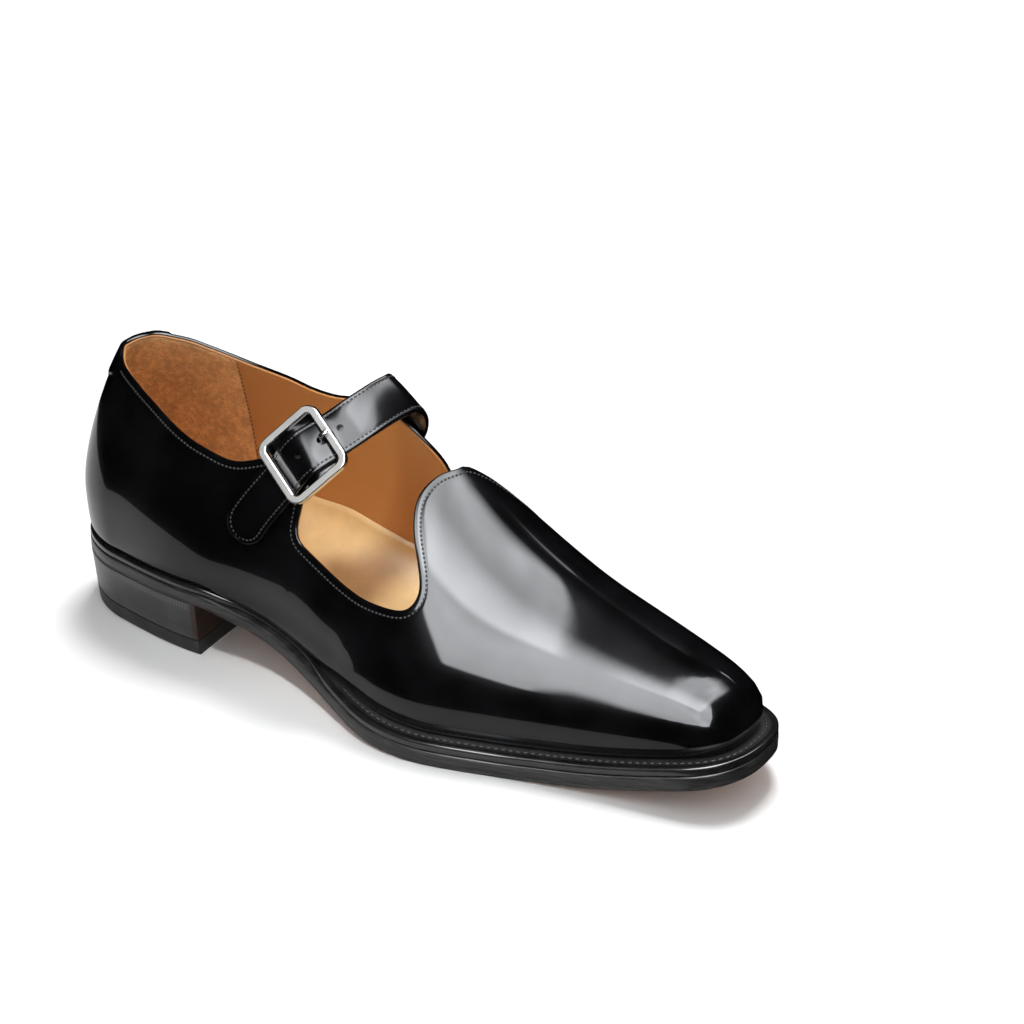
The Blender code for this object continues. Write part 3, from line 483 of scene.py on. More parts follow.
def drape(name, points, round_trip=False, tube=False, marks=None, uv=None, caps=False, smooth=180):
    """A grid laid on rows of points in shoe millimetres, welded and closed where it meets itself.

    marks are values kept on the points, and uv a length along and across in metres."""
    points = np.asarray(points, float)
    extra = dict(marks or {})
    if uv is not None:
        extra["uv"] = uv
    if round_trip:
        points = np.concatenate([points, points[:1]])
        extra = {k: v if k == "uv" else np.concatenate([v, v[:1]]) for k, v in extra.items()}
    if tube:
        points = np.concatenate([points, points[:, :1]], 1)
        extra = {k: v if k == "uv" else np.concatenate([v, v[:, :1]], 1) for k, v in extra.items()}
    rows, cols = points.shape[:2]
    deselect()
    bpy.ops.mesh.primitive_grid_add(x_subdivisions=rows - 1, y_subdivisions=cols - 1, size=2)
    obj = bpy.context.active_object
    obj.name = obj.data.name = name
    mesh = obj.data
    flat = np.zeros(len(mesh.vertices) * 3)
    mesh.vertices.foreach_get("co", flat)
    flat = flat.reshape(-1, 3)
    if len(flat) != rows * cols:
        raise RuntimeError(f"{name}: the grid has {len(flat)} points and not {rows * cols}")
    i = np.round((flat[:, 0] + 1) / 2 * (rows - 1)).astype(int)
    j = np.round((flat[:, 1] + 1) / 2 * (cols - 1)).astype(int)
    mesh.vertices.foreach_set("co", in_metres(points[i, j]).ravel())
    for key, value in extra.items():
        if key == "uv":
            corner = np.zeros(len(mesh.loops), int)
            mesh.loops.foreach_get("vertex_index", corner)
            mesh.uv_layers.active.data.foreach_set("uv", (value[i, j] * MM)[corner].ravel())
        else:
            mesh.attributes.new(key, "FLOAT", "POINT").data.foreach_set("value", value[i, j].astype(float))
    mesh.update()
    active(obj)
    bpy.ops.object.mode_set(mode="EDIT")
    bpy.ops.mesh.select_all(action="SELECT")
    bpy.ops.mesh.remove_doubles(threshold=2e-6)
    if caps:
        bpy.ops.mesh.fill_holes(sides=0)
    bpy.ops.mesh.dissolve_degenerate(threshold=1e-6)
    bpy.ops.mesh.normals_make_consistent(inside=False)
    bpy.ops.object.mode_set(mode="OBJECT")
    if smooth >= 180:
        bpy.ops.object.shade_smooth()
    else:
        bpy.ops.object.shade_smooth_by_angle(angle=math.radians(smooth))
    return obj


def lengths_uv(points):
    """Length along the first column's rows and across each row, in millimetres."""
    u = run_length(points.mean(1))
    v = np.concatenate([np.zeros((len(points), 1)),
                        np.cumsum(np.linalg.norm(np.diff(points, axis=1), axis=2), axis=1)], 1)
    return np.stack([np.broadcast_to(u[:, None], v.shape), v], -1)


def settle(obj, slot, mat, *nodes):
    """Gives a finished piece its material and its body, and hides the solids it stands for."""
    obj.data.materials.clear()
    obj.data.materials.append(mat)
    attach(obj, "root")
    if nodes:
        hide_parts(*nodes)


# --------------------------------------------------------------------------------- upper
NEAR = (0.0, 0.35, 0.7, 1.1, 1.5, 1.8, 2.1, 2.4, 2.7, 3.0, 3.4, 3.9, 4.6, 5.5, 6.6, 8.0)
RIBS, FAR = 200, 30


def ring(pair):
    """Lateral ribs from the heel to the lobe and medial ribs back, sharing the first and last."""
    lateral, medial = pair
    for end in (0, -1):
        lateral[end] = medial[end] = (lateral[end] + medial[end]) / 2
    return np.concatenate([lateral, medial[-2:0:-1]])


@cache
def upper_grid():
    """Points of the outer form and its directions, ribs by levels, rim first."""
    point, way = [], []
    for side in (-1, 1):
        half = LAST.half[side]
        line = edge_line(LAST, side, RIBS)
        top, foot_u = line[:, :2], np.clip(line[:, 2], 0, 1)
        foot_u[0], foot_u[-1] = 0, 1
        base = half.flat(foot_u, np.zeros(RIBS))
        reach = np.linalg.norm(top - base, axis=1)[:, None]
        near = np.array(NEAR)[None] / reach
        far = np.linspace(0, 1, FAR + 1)[None, 1:] ** 1.05
        share = 1 - np.concatenate([near + 0 * reach, near[:, -1:] + (1 - near[:, -1:]) * far], 1)
        q = base[:, None] + (top - base)[:, None] * share[..., None]
        levels = share.shape[1]
        u, t = LAST.unflat(side, q.reshape(-1, 2))
        u = u.reshape(RIBS, levels)
        u[:, -1] = foot_u
        u[0] = 0
        p, n = LAST.on(np.full(u.size, side), u.ravel(), t)
        point.append(p.reshape(RIBS, levels, 3))
        way.append(n.reshape(RIBS, levels, 3))
    return ring(point), unit(ring(way))


def open_direction(point, way):
    """Directions that point off the rim into the opening."""
    run = np.roll(point[:, 0], -1, axis=0) - np.roll(point[:, 0], 1, axis=0)
    out = unit(np.cross(way[:, 0], unit(run)))
    sign = np.sign(((point[:, 0] - point[:, 2]) * out).sum(1))
    return out * sign[:, None]


def distance_to(rim, points):
    """Distance of points from a closed rim."""
    dense = np.concatenate([rim + (np.roll(rim, -1, axis=0) - rim) * k / 4 for k in range(4)])
    tree = kdtree.KDTree(len(dense))
    for k, p in enumerate(dense):
        tree.insert(p, k)
    tree.balance()
    flat = points.reshape(-1, 3)
    return np.array([tree.find(p)[2] for p in flat]).reshape(points.shape[:-1])


def layer(point, way, outer, inner, lip, drop=0.0, shape=None):
    """A closed skin between two depths below the form, with a rounded lip at the rim."""
    out = open_direction(point, way)
    front = point - way * (outer if shape is None else shape[..., None])
    turn = np.linspace(0, math.pi, 9)[1:-1]
    depth, reach = (1 - np.cos(turn)) / 2, np.sin(turn) ** 0.8 * lip
    start, end = front[:, 0], point[:, 0] - way[:, 0] * inner
    edge = start[:, None] + (end - start)[:, None] * depth[None, :, None] \
        + out[:, None] * (reach - drop)[None, :, None]
    back = point - way * inner
    if drop:
        front[:, 0] -= out * drop
        back[:, 0] -= out * drop
    return np.concatenate([front[:, ::-1], edge, back], 1)


def lip_stitch_path(point, way, edge, at, lift):
    """Row of places a set distance in from the rim, one on each rib."""
    near = slice(len(NEAR))
    spots, ways = (np.array([read(at, e[near], row[near]) for e, row in zip(edge, rows)])
                   for rows in (point, way))
    ways = unit(ways)
    return spots + ways * lift, ways


def build_upper():
    """The polished outer leather, turned over at the topline, with the stitch row pressed in."""
    point, way = upper_grid()
    edge = distance_to(point[:, 0], point)
    press = 0.05 * np.exp(-((edge - sizes().edge_margin) / 0.5) ** 2)
    swell = 0.03 * np.exp(-((edge - 0.9) / 0.6) ** 2)
    rim = np.concatenate([point[:, 0], point[:1, 0]])
    round_rim = run_length(rim)
    back = np.minimum(round_rim[:-1], round_rim[-1] - round_rim[:-1])[:, None]
    tab = HEEL_TAB[2] * np.clip((HEEL_TAB[1] * (1 - (back / HEEL_TAB[0]) ** 2) - edge) / 1.0, 0, 1)
    rings = layer(point, way, 0.0, SKIN, 0.45, shape=press - swell - tab)
    marks = dict(edge=distance_to(point[:, 0], rings) * MM)
    obj = drape("upper_calf", rings, round_trip=True, tube=True, marks=marks)
    settle(obj, "upper_leather", calf_leather(), "upper")


def build_lining():
    """Tan quarter and vamp lining, its cut edge just inside the topline."""
    point, way = upper_grid()
    rings = layer(point, way, SKIN + 0.04, WALL, 0.22, drop=0.2)
    marks = dict(edge=distance_to(point[:, 0], rings) * MM)
    obj = drape("quarter_lining", rings, round_trip=True, tube=True, marks=marks)
    settle(obj, "lining_leather", lining_leather())


def heel_seam(t):
    """Where the heel lining ends, as a share of the outline, at t up the wall."""
    return 0.203 + 0.02 * (1 - t) - 0.012 * t * t


def rim_height(u):
    """How far up the wall the rim is, near the heel, for the two sides."""
    found = {}
    for side in (-1, 1):
        line = edge_line(LAST, side, RIBS)[:90]
        uu, tt = LAST.unflat(side, line[:, :2])
        found[side] = np.interp(np.abs(u), uu, tt)
    return np.where(u < 0, found[-1], found[1])


def heel_lining_points(depth, inset=0.0, shares=np.linspace(-1, 1, 121), up=np.linspace(0, 1, 40)):
    """Rows round the heel, each from the insole up to just under the topline."""
    rows = []
    for s in shares:
        reach = heel_seam(up) * s * (1 - inset)
        top = rim_height(np.full(1, reach[-1]))[0] - 0.008
        u, t = np.abs(reach), up * top
        p, n = LAST.on(np.full(len(up), -1 if s < 0 else 1), u, t)
        rows.append(p - n * depth)
    return np.array(rows)


def build_heel_lining():
    """Rough-side heel lining laid over the quarter lining, its front edges skived."""
    inner, outer = heel_lining_points(WALL + 0.45), heel_lining_points(WALL + 0.02)
    rings = np.concatenate([inner, outer[:, ::-1]], 1)
    obj = drape("heel_lining", rings, tube=True, caps=True)
    settle(obj, "lining_leather", suede_lining())


def wall_spot(side, u, z, depth):
    """Points on the inside of the wall at heights z."""
    out, ways = [], []
    t = np.linspace(0, 0.7, 141)
    levels = np.arange(len(t))
    for ui, zi in zip(u, z):
        p, n = LAST.on(np.full(len(t), side), np.full(len(t), ui), t)
        q = p - n * depth
        k = np.interp(zi, np.maximum.accumulate(q[:, 2]), levels)
        i = min(int(k), len(t) - 2)
        out.append(read(k, levels, q))
        ways.append(unit(q[i + 1] - q[i]))
    return np.array(out), np.array(ways)


def build_sock():
    """Smooth sock over the insole, dished up against the walls, highest at the inner waist."""
    u = (1 - np.cos(np.linspace(0, math.pi, 150))) / 2
    ends = {}
    for side, column in ((-1, 1), (1, 2)):
        x = read(u, np.linspace(0, 1, HalfLast.ACROSS), LAST.half[side].foot)[:, 0]
        seat, rise = insole_top(x) + 0.1, monotone(SOCK, column, x)
        ends[side] = (seat, rise, *wall_spot(side, u, seat + rise + 0.3, WALL + 0.5))
    rows = []
    for i in range(len(u)):
        parts = []
        for side, radius in ((-1, 7.0), (1, 17.0)):
            seat, rise, top, up = (value[i] for value in ends[side])
            other = ends[-side][2][i]
            inward = unit((other - top) * (1, 1, 0))
            width = np.linalg.norm((other - top)[:2])
            low = top + inward * min(radius * rise / 16 + 3, width * 0.42)
            low[2] = seat
            t = np.linspace(0, 1, 13)[:, None]
            parts.append(bezier(top, top - up * rise * 0.75, low - inward * rise * 0.25, low, t))
        lateral, medial = parts
        middle = lateral[-1] + (medial[-1] - lateral[-1]) * np.linspace(0, 1, 8)[1:-1, None]
        rows.append(np.concatenate([lateral, middle, medial[::-1]]))
    top = np.array(rows)[1:-1]
    run, across = np.gradient(top, axis=0), np.gradient(top, axis=1)
    up = unit(np.cross(run, across))
    up *= np.sign(up[..., 2:3] + 1e-9)
    under = top - up * 0.5
    rings = np.concatenate([top, under[:, ::-1]], 1)
    obj = drape("sock", rings, tube=True, caps=True)
    settle(obj, "lining_leather", sock_leather())
    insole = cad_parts["insole"].data
    insole.materials.clear()
    insole.materials.append(sock_leather())


# --------------------------------------------------------------------------------- strap
class StrapRun:
    """The strap's middle line on the form, measured from its tip."""

    def __init__(self):
        rows = along(STRAP, 400)
        middle, way = LAST.on(*LAST.place(rows[:, 0], rows[:, 1]))
        run = unit(np.gradient(middle, axis=0))
        self.across = unit(np.cross(way, run))
        self.rows, self.middle, self.run = rows, middle, run
        self.s = run_length(middle)
        self.length = self.s[-1]

    def at(self, s, a, height):
        """Points and outward directions at s from the tip, a across and a height in the thickness."""
        s, a = np.asarray(s, float), np.asarray(a, float)
        row, across = read(s, self.s, self.rows), unit(read(s, self.s, self.across))
        x, girth = LAST.step(row[:, 0], row[:, 1], across * a[:, None])
        return LAST.on(*LAST.place(x, girth), row[:, 2] + height)

    def stations(self, in_tip, beyond, stop):
        """Places from the tip to stop, closer in the rounded tip."""
        tip = sizes().strap_width * 0.55
        rounded = tip * (1 - np.cos(np.linspace(0, math.pi / 2, in_tip)))
        return np.r_[rounded[:-1], np.linspace(tip, stop, beyond)]

    def thickness(self, s):
        """Share of the full thickness, less where the sewn end is skived."""
        return 1 - 0.35 * np.clip((s - self.length + 14) / 14, 0, 1)

    def half_width(self, s):
        half = sizes().strap_width / 2
        tip = np.clip(1 - np.asarray(s) / (half * 1.1), 0, 1)
        return half * np.clip(1 - tip ** 2.4, 0, 1) ** 0.5


class BuckleFrame:
    """Directions at the buckle: towards the ridge, across the strap, out from the quarter."""

    def __init__(self, strap):
        i = int(np.argmin(np.abs(strap.rows[:, 1] - BUCKLE_AT[1])))
        self.s = strap.s[i]
        self.origin, self.run, self.across = strap.middle[i], strap.run[i], strap.across[i]
        self.out = np.cross(self.run, self.across)
        self.near = (strap.middle - self.origin) @ self.run
        self.fall = (strap.middle - self.origin) @ self.out
        self.lift = strap.rows[:, 2]
        keep = slice(max(i - 90, 0), i + 110)
        self.near, self.fall, self.lift = self.near[keep], self.fall[keep], self.lift[keep]

    def at(self, s, a, h):
        return self.origin + self.run * s + self.across * a + self.out * h

    def strap_height(self, s):
        return float(np.interp(s, self.near, self.fall + self.lift))


STRAP_SECTION = (
    # inset from the edge, height as a share of the thickness, proud of it in millimetres
    (0.45, 0.0, 0.0), (0.1, 0.12, 0.0), (0.0, 0.35, 0.0), (0.0, 0.6, 0.0), (0.1, 0.82, 0.0),
    (0.32, 0.95, 0.0), (0.65, 1.0, 0.0), (1.05, 1.0, 0.02), (1.4, 1.0, 0.0), (1.7, 1.0, -0.03),
    (2.0, 1.0, 0.0), (2.4, 1.0, 0.04), (3.2, 1.0, 0.09))


def build_strap():
    """Folded strap with pressed stitch rows, rounded tip, sewn medial end and punched holes."""
    strap = StrapRun()
    thick = sizes().strap_thickness
    s = strap.stations(26, 230, strap.length)
    w = strap.half_width(s)
    fade, thin = np.clip(w / 4.5, 0, 1), strap.thickness(s)
    columns = []

    def column(a, height):
        columns.append(strap.at(s, a, height * thin)[0])
    for k in np.linspace(-1, 1, 7)[1:-1]:
        column((w - 0.45 * fade) * k, 0 * s)
    for inset, part, proud in STRAP_SECTION:
        column(w - np.minimum(inset, w), thick * part + proud * fade)
    for k in np.linspace(1, -1, 9)[1:-1]:
        column((w - np.minimum(3.2, w)) * k, thick + (0.09 + 0.1 * (1 - k * k)) * fade)
    for inset, part, proud in STRAP_SECTION[::-1]:
        column(-(w - np.minimum(inset, w)), thick * part + proud * fade)
    rings = np.stack(columns, 1)
    obj = drape("strap_leather", rings, tube=True, caps=True)
    place = BuckleFrame(strap)
    for k, spot in enumerate(HOLES):
        punch(obj, place, spot, HOLE if k == 0 else HOLE - 0.6)
    active(obj)
    bpy.ops.object.shade_smooth_by_angle(angle=math.radians(50))
    settle(obj, "upper_leather", strap_calf(), "strap")


def punch(obj, place, spot, width):
    """A round hole down to the strap's lining."""
    mid = place.strap_height(spot) + 0.6 + 3
    ahead = np.array([1.6, place.strap_height(spot + 0.8) - place.strap_height(spot - 0.8)])
    ahead /= np.linalg.norm(ahead)
    way = place.out * ahead[0] - place.run * ahead[1]
    deselect()
    bpy.ops.mesh.primitive_cylinder_add(vertices=28, radius=width / 2 * MM, depth=6 * MM)
    pin = bpy.context.active_object
    turn = Vector(way).to_track_quat("Z", "Y").to_matrix().to_4x4()
    pin.data.transform(Matrix.Translation(Vector(in_metres(place.at(spot, 0, mid))[0])) @ turn)
    active(obj)
    cut = obj.modifiers.new("hole", "BOOLEAN")
    cut.operation, cut.solver, cut.object = "DIFFERENCE", "EXACT", pin
    bpy.ops.object.modifier_apply(modifier=cut.name)
    bpy.data.objects.remove(pin, do_unlink=True)


def arc(middle, radius, start, stop, count):
    """Points (s, h) on part of a circle, angles in degrees."""
    angles = [math.radians(start + (stop - start) * k / (count - 1)) for k in range(count)]
    return [(middle[0] + radius * math.cos(a), middle[1] + radius * math.sin(a)) for a in angles]


def bar_section(wide, high, square, count=20):
    """Rounded bar section, (out, up) pairs round it."""
    a = np.arange(count) * 2 * math.pi / count + math.pi / count
    c, s = np.cos(a), np.sin(a)
    return np.column_stack([np.sign(c) * np.abs(c) ** (2 / square) * wide / 2,
                            np.sign(s) * np.abs(s) ** (2 / square) * high / 2])


def sweep(name, place, path, section, closed, flat=True, taper=None):
    """A bar of one section along (s, a, h) points of the buckle's place."""
    path = np.asarray(path, float)
    if closed:
        run = np.roll(path, -1, axis=0) - np.roll(path, 1, axis=0)
    else:
        run = np.gradient(path, axis=0)
    run = unit(run)
    side = unit(np.cross(run, (0, 0, 1))) if flat else np.broadcast_to((0.0, 1.0, 0.0), run.shape)
    up = np.cross(side, run)
    size = np.ones(len(path)) if taper is None else np.asarray(taper)
    local = path[:, None] + (side[:, None] * section[None, :, :1] + up[:, None] * section[None, :, 1:]) \
        * size[:, None, None]
    basis = np.array([place.run, place.across, place.out])
    # crown: share of the way up each bar's section; the steel paints a highlight where it is highest
    crown = np.broadcast_to(section[:, 1] / section[:, 1].max(), local.shape[:2])
    return drape(name, place.origin + local @ basis, round_trip=closed, tube=True, caps=not closed,
                 marks={"crown": crown})


def build_buckle():
    """Polished square frame with its centre bar, and the prong that laps over the outer bar."""
    place = BuckleFrame(StrapRun())
    reach, r = (BUCKLE - BAR) / 2, CORNER - BAR / 2
    flat = []
    for sx, sy, start in ((1, 1, 0), (-1, 1, 90), (-1, -1, 180), (1, -1, 270)):
        flat += arc((sx * (reach - r), sy * (reach - r)), r, start, start + 90, 13)
        step = {0: (-1, 0), 90: (0, -1), 180: (1, 0), 270: (0, 1)}[start]
        side, (last_s, last_a) = 2 * (reach - r), flat[-1]
        flat += [(last_s + step[0] * side * k / 14, last_a + step[1] * side * k / 14) for k in range(1, 14)]
    path = [(s, a, BAR_HEIGHT) for s, a in flat]
    frame_piece = sweep("buckle_bar_frame", place, path, bar_section(BAR + 0.05, BAR * 0.92, 5.5, 32), True)
    settle(frame_piece, "buckle_metal", polished_steel(), "buckle_frame")
    bend = along([(reach, BAR_HEIGHT), (reach - 0.5, BAR_HEIGHT - 0.6), (reach - 0.8, PIN_HEIGHT + 0.3),
                  (reach - 1.5, PIN_HEIGHT), (reach - 4.5, PIN_HEIGHT)], 16)
    line = [(0, -a, h) for a, h in bend] + [(0, a, h) for a, h in bend[::-1]]
    pin = sweep("buckle_centre_bar", place, line, bar_section(PIN_BAR, PIN_BAR, 2.0, 16), False)
    settle(pin, "buckle_metal", polished_steel())
    radius = PIN_BAR / 2 + 0.2 + PRONG / 2
    top = BAR_HEIGHT + BAR / 2 + PRONG / 2 + 0.15
    eye = arc((0, PIN_HEIGHT), radius, 50, 262, 24)
    shaft = along([(0.4, PIN_HEIGHT - radius), (4.0, 1.0), (7.2, 1.6), (8.6, 3.4), (9.3, 5.2),
                   (10.4, top - 0.2), (reach, top), (reach + 1.3, top - 0.1)], 48)
    line = [(s, 0.0, h) for s, h in eye + [tuple(p) for p in shaft]]
    taper = np.ones(len(line))
    taper[-5:] = (0.99, 0.96, 0.88, 0.7, 0.35)
    taper[:3] = (0.5, 0.85, 1.0)
    prong = sweep("buckle_tongue", place, line, bar_section(PRONG * 1.35, PRONG * 1.15, 2.6, 16), False,
                  flat=False, taper=taper)
    settle(prong, "buckle_metal", polished_steel(), "buckle_prong")


def build_tab():
    """Leather sewn on below the buckle, and its loop round the centre bar."""
    strap = StrapRun()
    place = BuckleFrame(strap)
    s = place.s + np.linspace(REST[0], REST[1], 40)
    lift = np.interp(s, strap.s, strap.rows[:, 2])
    rest = np.maximum(lift - 0.95, 0.4)
    low, high, thick = REST[2:]
    edge = ((0.3, 0), (0, 0.15), (0, thick - 0.25), (0.3, thick))
    section = [(high - inset, up) for inset, up in edge] \
        + [(a, thick + 0.04) for a in np.linspace(high - 1, low + 1, 13)] \
        + [(low + inset, up) for inset, up in edge[::-1]]
    columns = [strap.at(s, a + 0 * s, rest + up - lift)[0] for a, up in section]
    sheet = drape("buckle_tab_sheet", np.stack(columns, 1), tube=True, caps=True)
    settle(sheet, "upper_leather", strap_calf(), "buckle_tab")
    radius = PIN_BAR / 2 + 0.2 + TAB_THICK / 2
    flat = [(d, float(np.interp(d, place.near, place.fall)) + 0.6 + TAB_THICK / 2)
            for d in (-8.8, -7.4, -6.0, -4.2)]
    run = along(flat + [(-2.4, 1.05)], 20)
    line = [tuple(p) for p in run[:-1]] + arc((0, PIN_HEIGHT), radius, 262, 262 + 285, 40)
    loop = sweep("buckle_tab_loop", place, [(d, 0.0, h) for d, h in line],
                 bar_section(TAB_WIDTH, TAB_THICK, 12, 40), False, flat=False)
    settle(loop, "upper_leather", strap_calf())


# --------------------------------------------------------------------------------- sole
def slab(name, section, stations=320, across=9, **words):
    """A plate over the whole outline from edge places (inset, height), low to high."""
    sides = {}
    for side in (-1, 1):
        lines = []
        for inset, height in section:
            line = side_line(side, inset(side) if callable(inset) else inset, steps=stations)
            lines.append(np.column_stack([line, height(line[:, 0])]))
        sides[side] = lines

    def bridge(a, b):
        return [a + (b - a) * k for k in np.linspace(0, 1, across)[1:-1]]
    lateral, medial = sides[-1], sides[1]
    columns = lateral + bridge(lateral[-1], medial[-1]) + medial[::-1] + bridge(medial[0], lateral[0])
    below = [k < 2 for k in range(len(section))]
    under = below + [False] * (across - 2) + below[::-1] + [True] * (across - 2)
    points = np.stack(columns, 1)
    marks = dict(under=np.broadcast_to(np.array(under, float), points.shape[:2]))
    return drape(name, points, tube=True, marks=marks,
                 uv=lengths_uv(np.concatenate([points, points[:, :1]], 1)), **words)


def hoop(name, section, stations=300, **words):
    """A strip round the outline from a closed section of (inset(side), height, mark) places."""
    columns = []
    for inset, height, _ in section:
        sides = []
        for side in (-1, 1):
            line = side_line(side, inset(side), steps=stations)
            sides.append(np.column_stack([line, height(line[:, 0])]))
        columns.append(np.concatenate([sides[0], sides[1][-2:0:-1]]))
    points = np.stack(columns, 1)
    again = np.concatenate([points, points[:1]])
    again = np.concatenate([again, again[:, :1]], 1)
    marks = dict(off=np.broadcast_to([mark for _, _, mark in section], points.shape[:2]))
    return drape(name, points, round_trip=True, tube=True, marks=marks, uv=lengths_uv(again), **words)


def build_outsole():
    """Leather outsole: black dressed edge with a fine bead below, brown underside."""
    def at(share, plus=0.0):
        return lambda x: underside(x) + share * (outsole_top(x) - underside(x)) + plus
    section = [
        (1.6, at(0, 0.0)), (0.55, at(0, 0.02)), (0.2, at(0, 0.12)), (0.05, at(0, 0.4)), (0.02, at(0, 0.75)),
        (0.22, at(0, 1.05)), (0.14, at(0, 1.4)), (0.02, at(0.45)), (0.0, at(0.6)), (0.03, at(0.8)),
        (0.12, at(1, -0.35)), (0.35, at(1, -0.08)), (0.8, at(1, 0.0))]
    obj = slab("outsole_leather", section)
    settle(obj, "sole_leather", sole_leather(), "outsole")


def build_welt():
    """Welt with a bevelled, wheeled rim and a channel for its stitches, drawn in at the waist."""
    def place(off, share, up, plus):
        """How far in from the edge, at most that share of the width, and how high."""
        def inset(side):
            tuck, keep = waist_tuck(side), margin(side)

            def amount(x):
                inner = np.minimum(WELT_WIDTH, 4.0 + keep(x) * 1.25)
                return tuck(x) + np.minimum(off, share * (inner - tuck(x)))
            return amount
        return inset, lambda x: outsole_top(x) + GAP + up * monotone(PROFILE, 3, x) + plus, off
    section = [place(*row) for row in (
        (0.35, .05, 0, 0), (0.08, .02, 0, 0.25), (0, 0, 0.35, 0), (0, 0, 0.6, 0), (0.12, .03, 0.85, 0),
        (0.4, .08, 0.97, 0), (0.85, .14, 1, 0), (1.4, .2, 1, -0.02), (2.2, .28, 1, -0.05),
        (3.2, .36, 1, -0.1), (3.8, .42, 1, -0.3), (4.3, .47, 1, -0.38), (4.8, .52, 1, -0.3),
        (5.4, .6, 1, -0.12), (6.6, .75, 1, -0.05), (20, 1, 1, -0.05), (20, 1, 0, 0))]
    obj = hoop("welt_leather", section)
    settle(obj, "sole_edge", welt_leather(), "welt")


def heel_ring(height, inset, steps=130, front_steps=30):
    """Ring round the heel at one height, closed across the breast with a slight hollow."""
    sides = []
    for side in (-1, 1):
        line = side_line(side, inset, stop=BREAST, steps=500)
        s, length = np.linspace(0, 1, steps), run_length(line)
        sides.append(read(s * length[-1], length, line))
    lateral, medial = sides
    a, b = lateral[-1], medial[-1]
    front = [a + (b - a) * k / front_steps - (BREAST_HOLLOW * math.sin(math.pi * k / front_steps), 0)
             for k in range(1, front_steps)]
    flat = np.concatenate([lateral, front, medial[:0:-1]])
    z = height(flat[:, 0]) if callable(height) else np.full(len(flat), height)
    return np.column_stack([flat, z])


def heel_body(name, rows, mat, slot, node):
    points = np.stack([heel_ring(z, inset) for z, inset in rows], 1)
    again = np.concatenate([points, points[:1]])
    obj = drape(name, points, round_trip=True, caps=True, uv=lengths_uv(again), smooth=40)
    settle(obj, slot, mat, node)


def build_heel():
    """Stacked heel block and its top lift."""
    split = HEEL_TAPER * (1 - TOP_LIFT / 22.0)
    low = TOP_LIFT + GAP
    top = lambda x: underside(x) - GAP
    block = [(low, split + 0.5), (low + 0.12, split + 0.15), (low + 0.45, split), (10.0, HEEL_TAPER * 0.55),
             (14.0, HEEL_TAPER * 0.4), (18.0, HEEL_TAPER * 0.2), (lambda x: top(x) - 1.0, 0.05),
             (lambda x: top(x) - 0.3, 0.08), (top, 0.4)]
    heel_body("heel_block", block, heel_leather(), "sole_edge", "heel_stack")
    lift = [(0.0, HEEL_TAPER + 0.8), (0.12, HEEL_TAPER + 0.3), (0.5, HEEL_TAPER), (3.0, HEEL_TAPER * 0.86),
            (TOP_LIFT - 0.45, split), (TOP_LIFT - 0.1, split + 0.12), (TOP_LIFT, split + 0.4)]
    heel_body("heel_top_lift", lift, lift_rubber(), "top_lift", "top_lift")


# --------------------------------------------------------------------------------- stitching
STITCHES = dict(
    # thread, slot, length, width, height
    topline=("black_thread", "upper_leather", 1.25, 0.82, 0.46),
    lining=("tan_thread", "lining_leather", 1.15, 0.36, 0.3),
    seam=("brown_thread", "lining_leather", 0.9, 0.75, 0.34),
    strap=("black_thread", "upper_leather", 1.25, 0.72, 0.5),
    base=("black_thread", "upper_leather", 1.2, 0.45, 0.4),
    welt=("welt_thread", "sole_edge", 2.3, 0.9, 0.7))
STRAP_PITCH, SEAM_PITCH = 1.7, 1.9


def sew(name, kind, path, way, pitch, closed=False):
    """One thread stitch, copied along a path at an even pitch and joined into one row."""
    colour, slot, *size = STITCHES[kind]
    if closed:
        path, way = np.concatenate([path, path[:1]]), np.concatenate([way, way[:1]])
    s = run_length(path)
    count = max(1, int(round(s[-1] / pitch)))
    at = (np.arange(count) + 0.5) * s[-1] / count
    deselect()
    bpy.ops.mesh.primitive_uv_sphere_add(segments=8, ring_count=6, radius=0.5)
    first = bpy.context.active_object
    bpy.ops.transform.resize(value=tuple(v * MM for v in size))
    bpy.ops.object.transform_apply(location=False, rotation=False, scale=True)
    copies = []
    for k, here in enumerate(at):
        p, q = read(here - 0.4, s, path), read(here + 0.4, s, path)
        x = unit(q - p)
        y = unit(np.cross(read(here, s, way), x))
        turn = Matrix.Translation(in_metres((p + q) / 2)[0]) \
            @ Matrix(np.column_stack([x, y, np.cross(x, y)])).to_4x4()
        piece = first if k == count - 1 else first.copy()
        if piece is not first:
            piece.data = first.data.copy()
            bpy.context.scene.collection.objects.link(piece)
        piece.data.transform(turn)
        copies.append(piece)
    active(first)
    for piece in copies:
        piece.select_set(True)
    bpy.ops.object.join()
    first.name = first.data.name = name
    bpy.ops.object.shade_smooth()
    settle(first, slot, thread(colour))


def build_stitching():
    """Topline, lining, strap and welt stitches."""
    point, way = upper_grid()
    edge = distance_to(point[:, 0], point)
    at, pitch = sizes().edge_margin, sizes().stitch_pitch
    path, ways = lip_stitch_path(point, way, edge, at, 0.03)
    sew("topline_stitches", "topline", path, ways, pitch, closed=True)
    inside = path - ways * WALL
    sew("lining_stitches", "lining", inside, -ways, pitch, closed=True)
    sew_strap()
    sew_welt()
    seam = heel_lining_points(WALL + 0.06, -0.008, shares=np.array([-1.0, 1.0]),
                              up=np.linspace(0.05, 0.99, 60))
    for k, name in ((0, "heel_lining_stitches_lateral"), (1, "heel_lining_stitches_medial")):
        line = seam[k]
        tangent = unit(np.gradient(line, axis=0))
        sideways = np.array([0.0, 1.0 if k == 0 else -1.0, 0.0])
        normal = unit(sideways - tangent * (tangent @ sideways)[:, None])
        sew(name, "seam", line, normal, SEAM_PITCH)


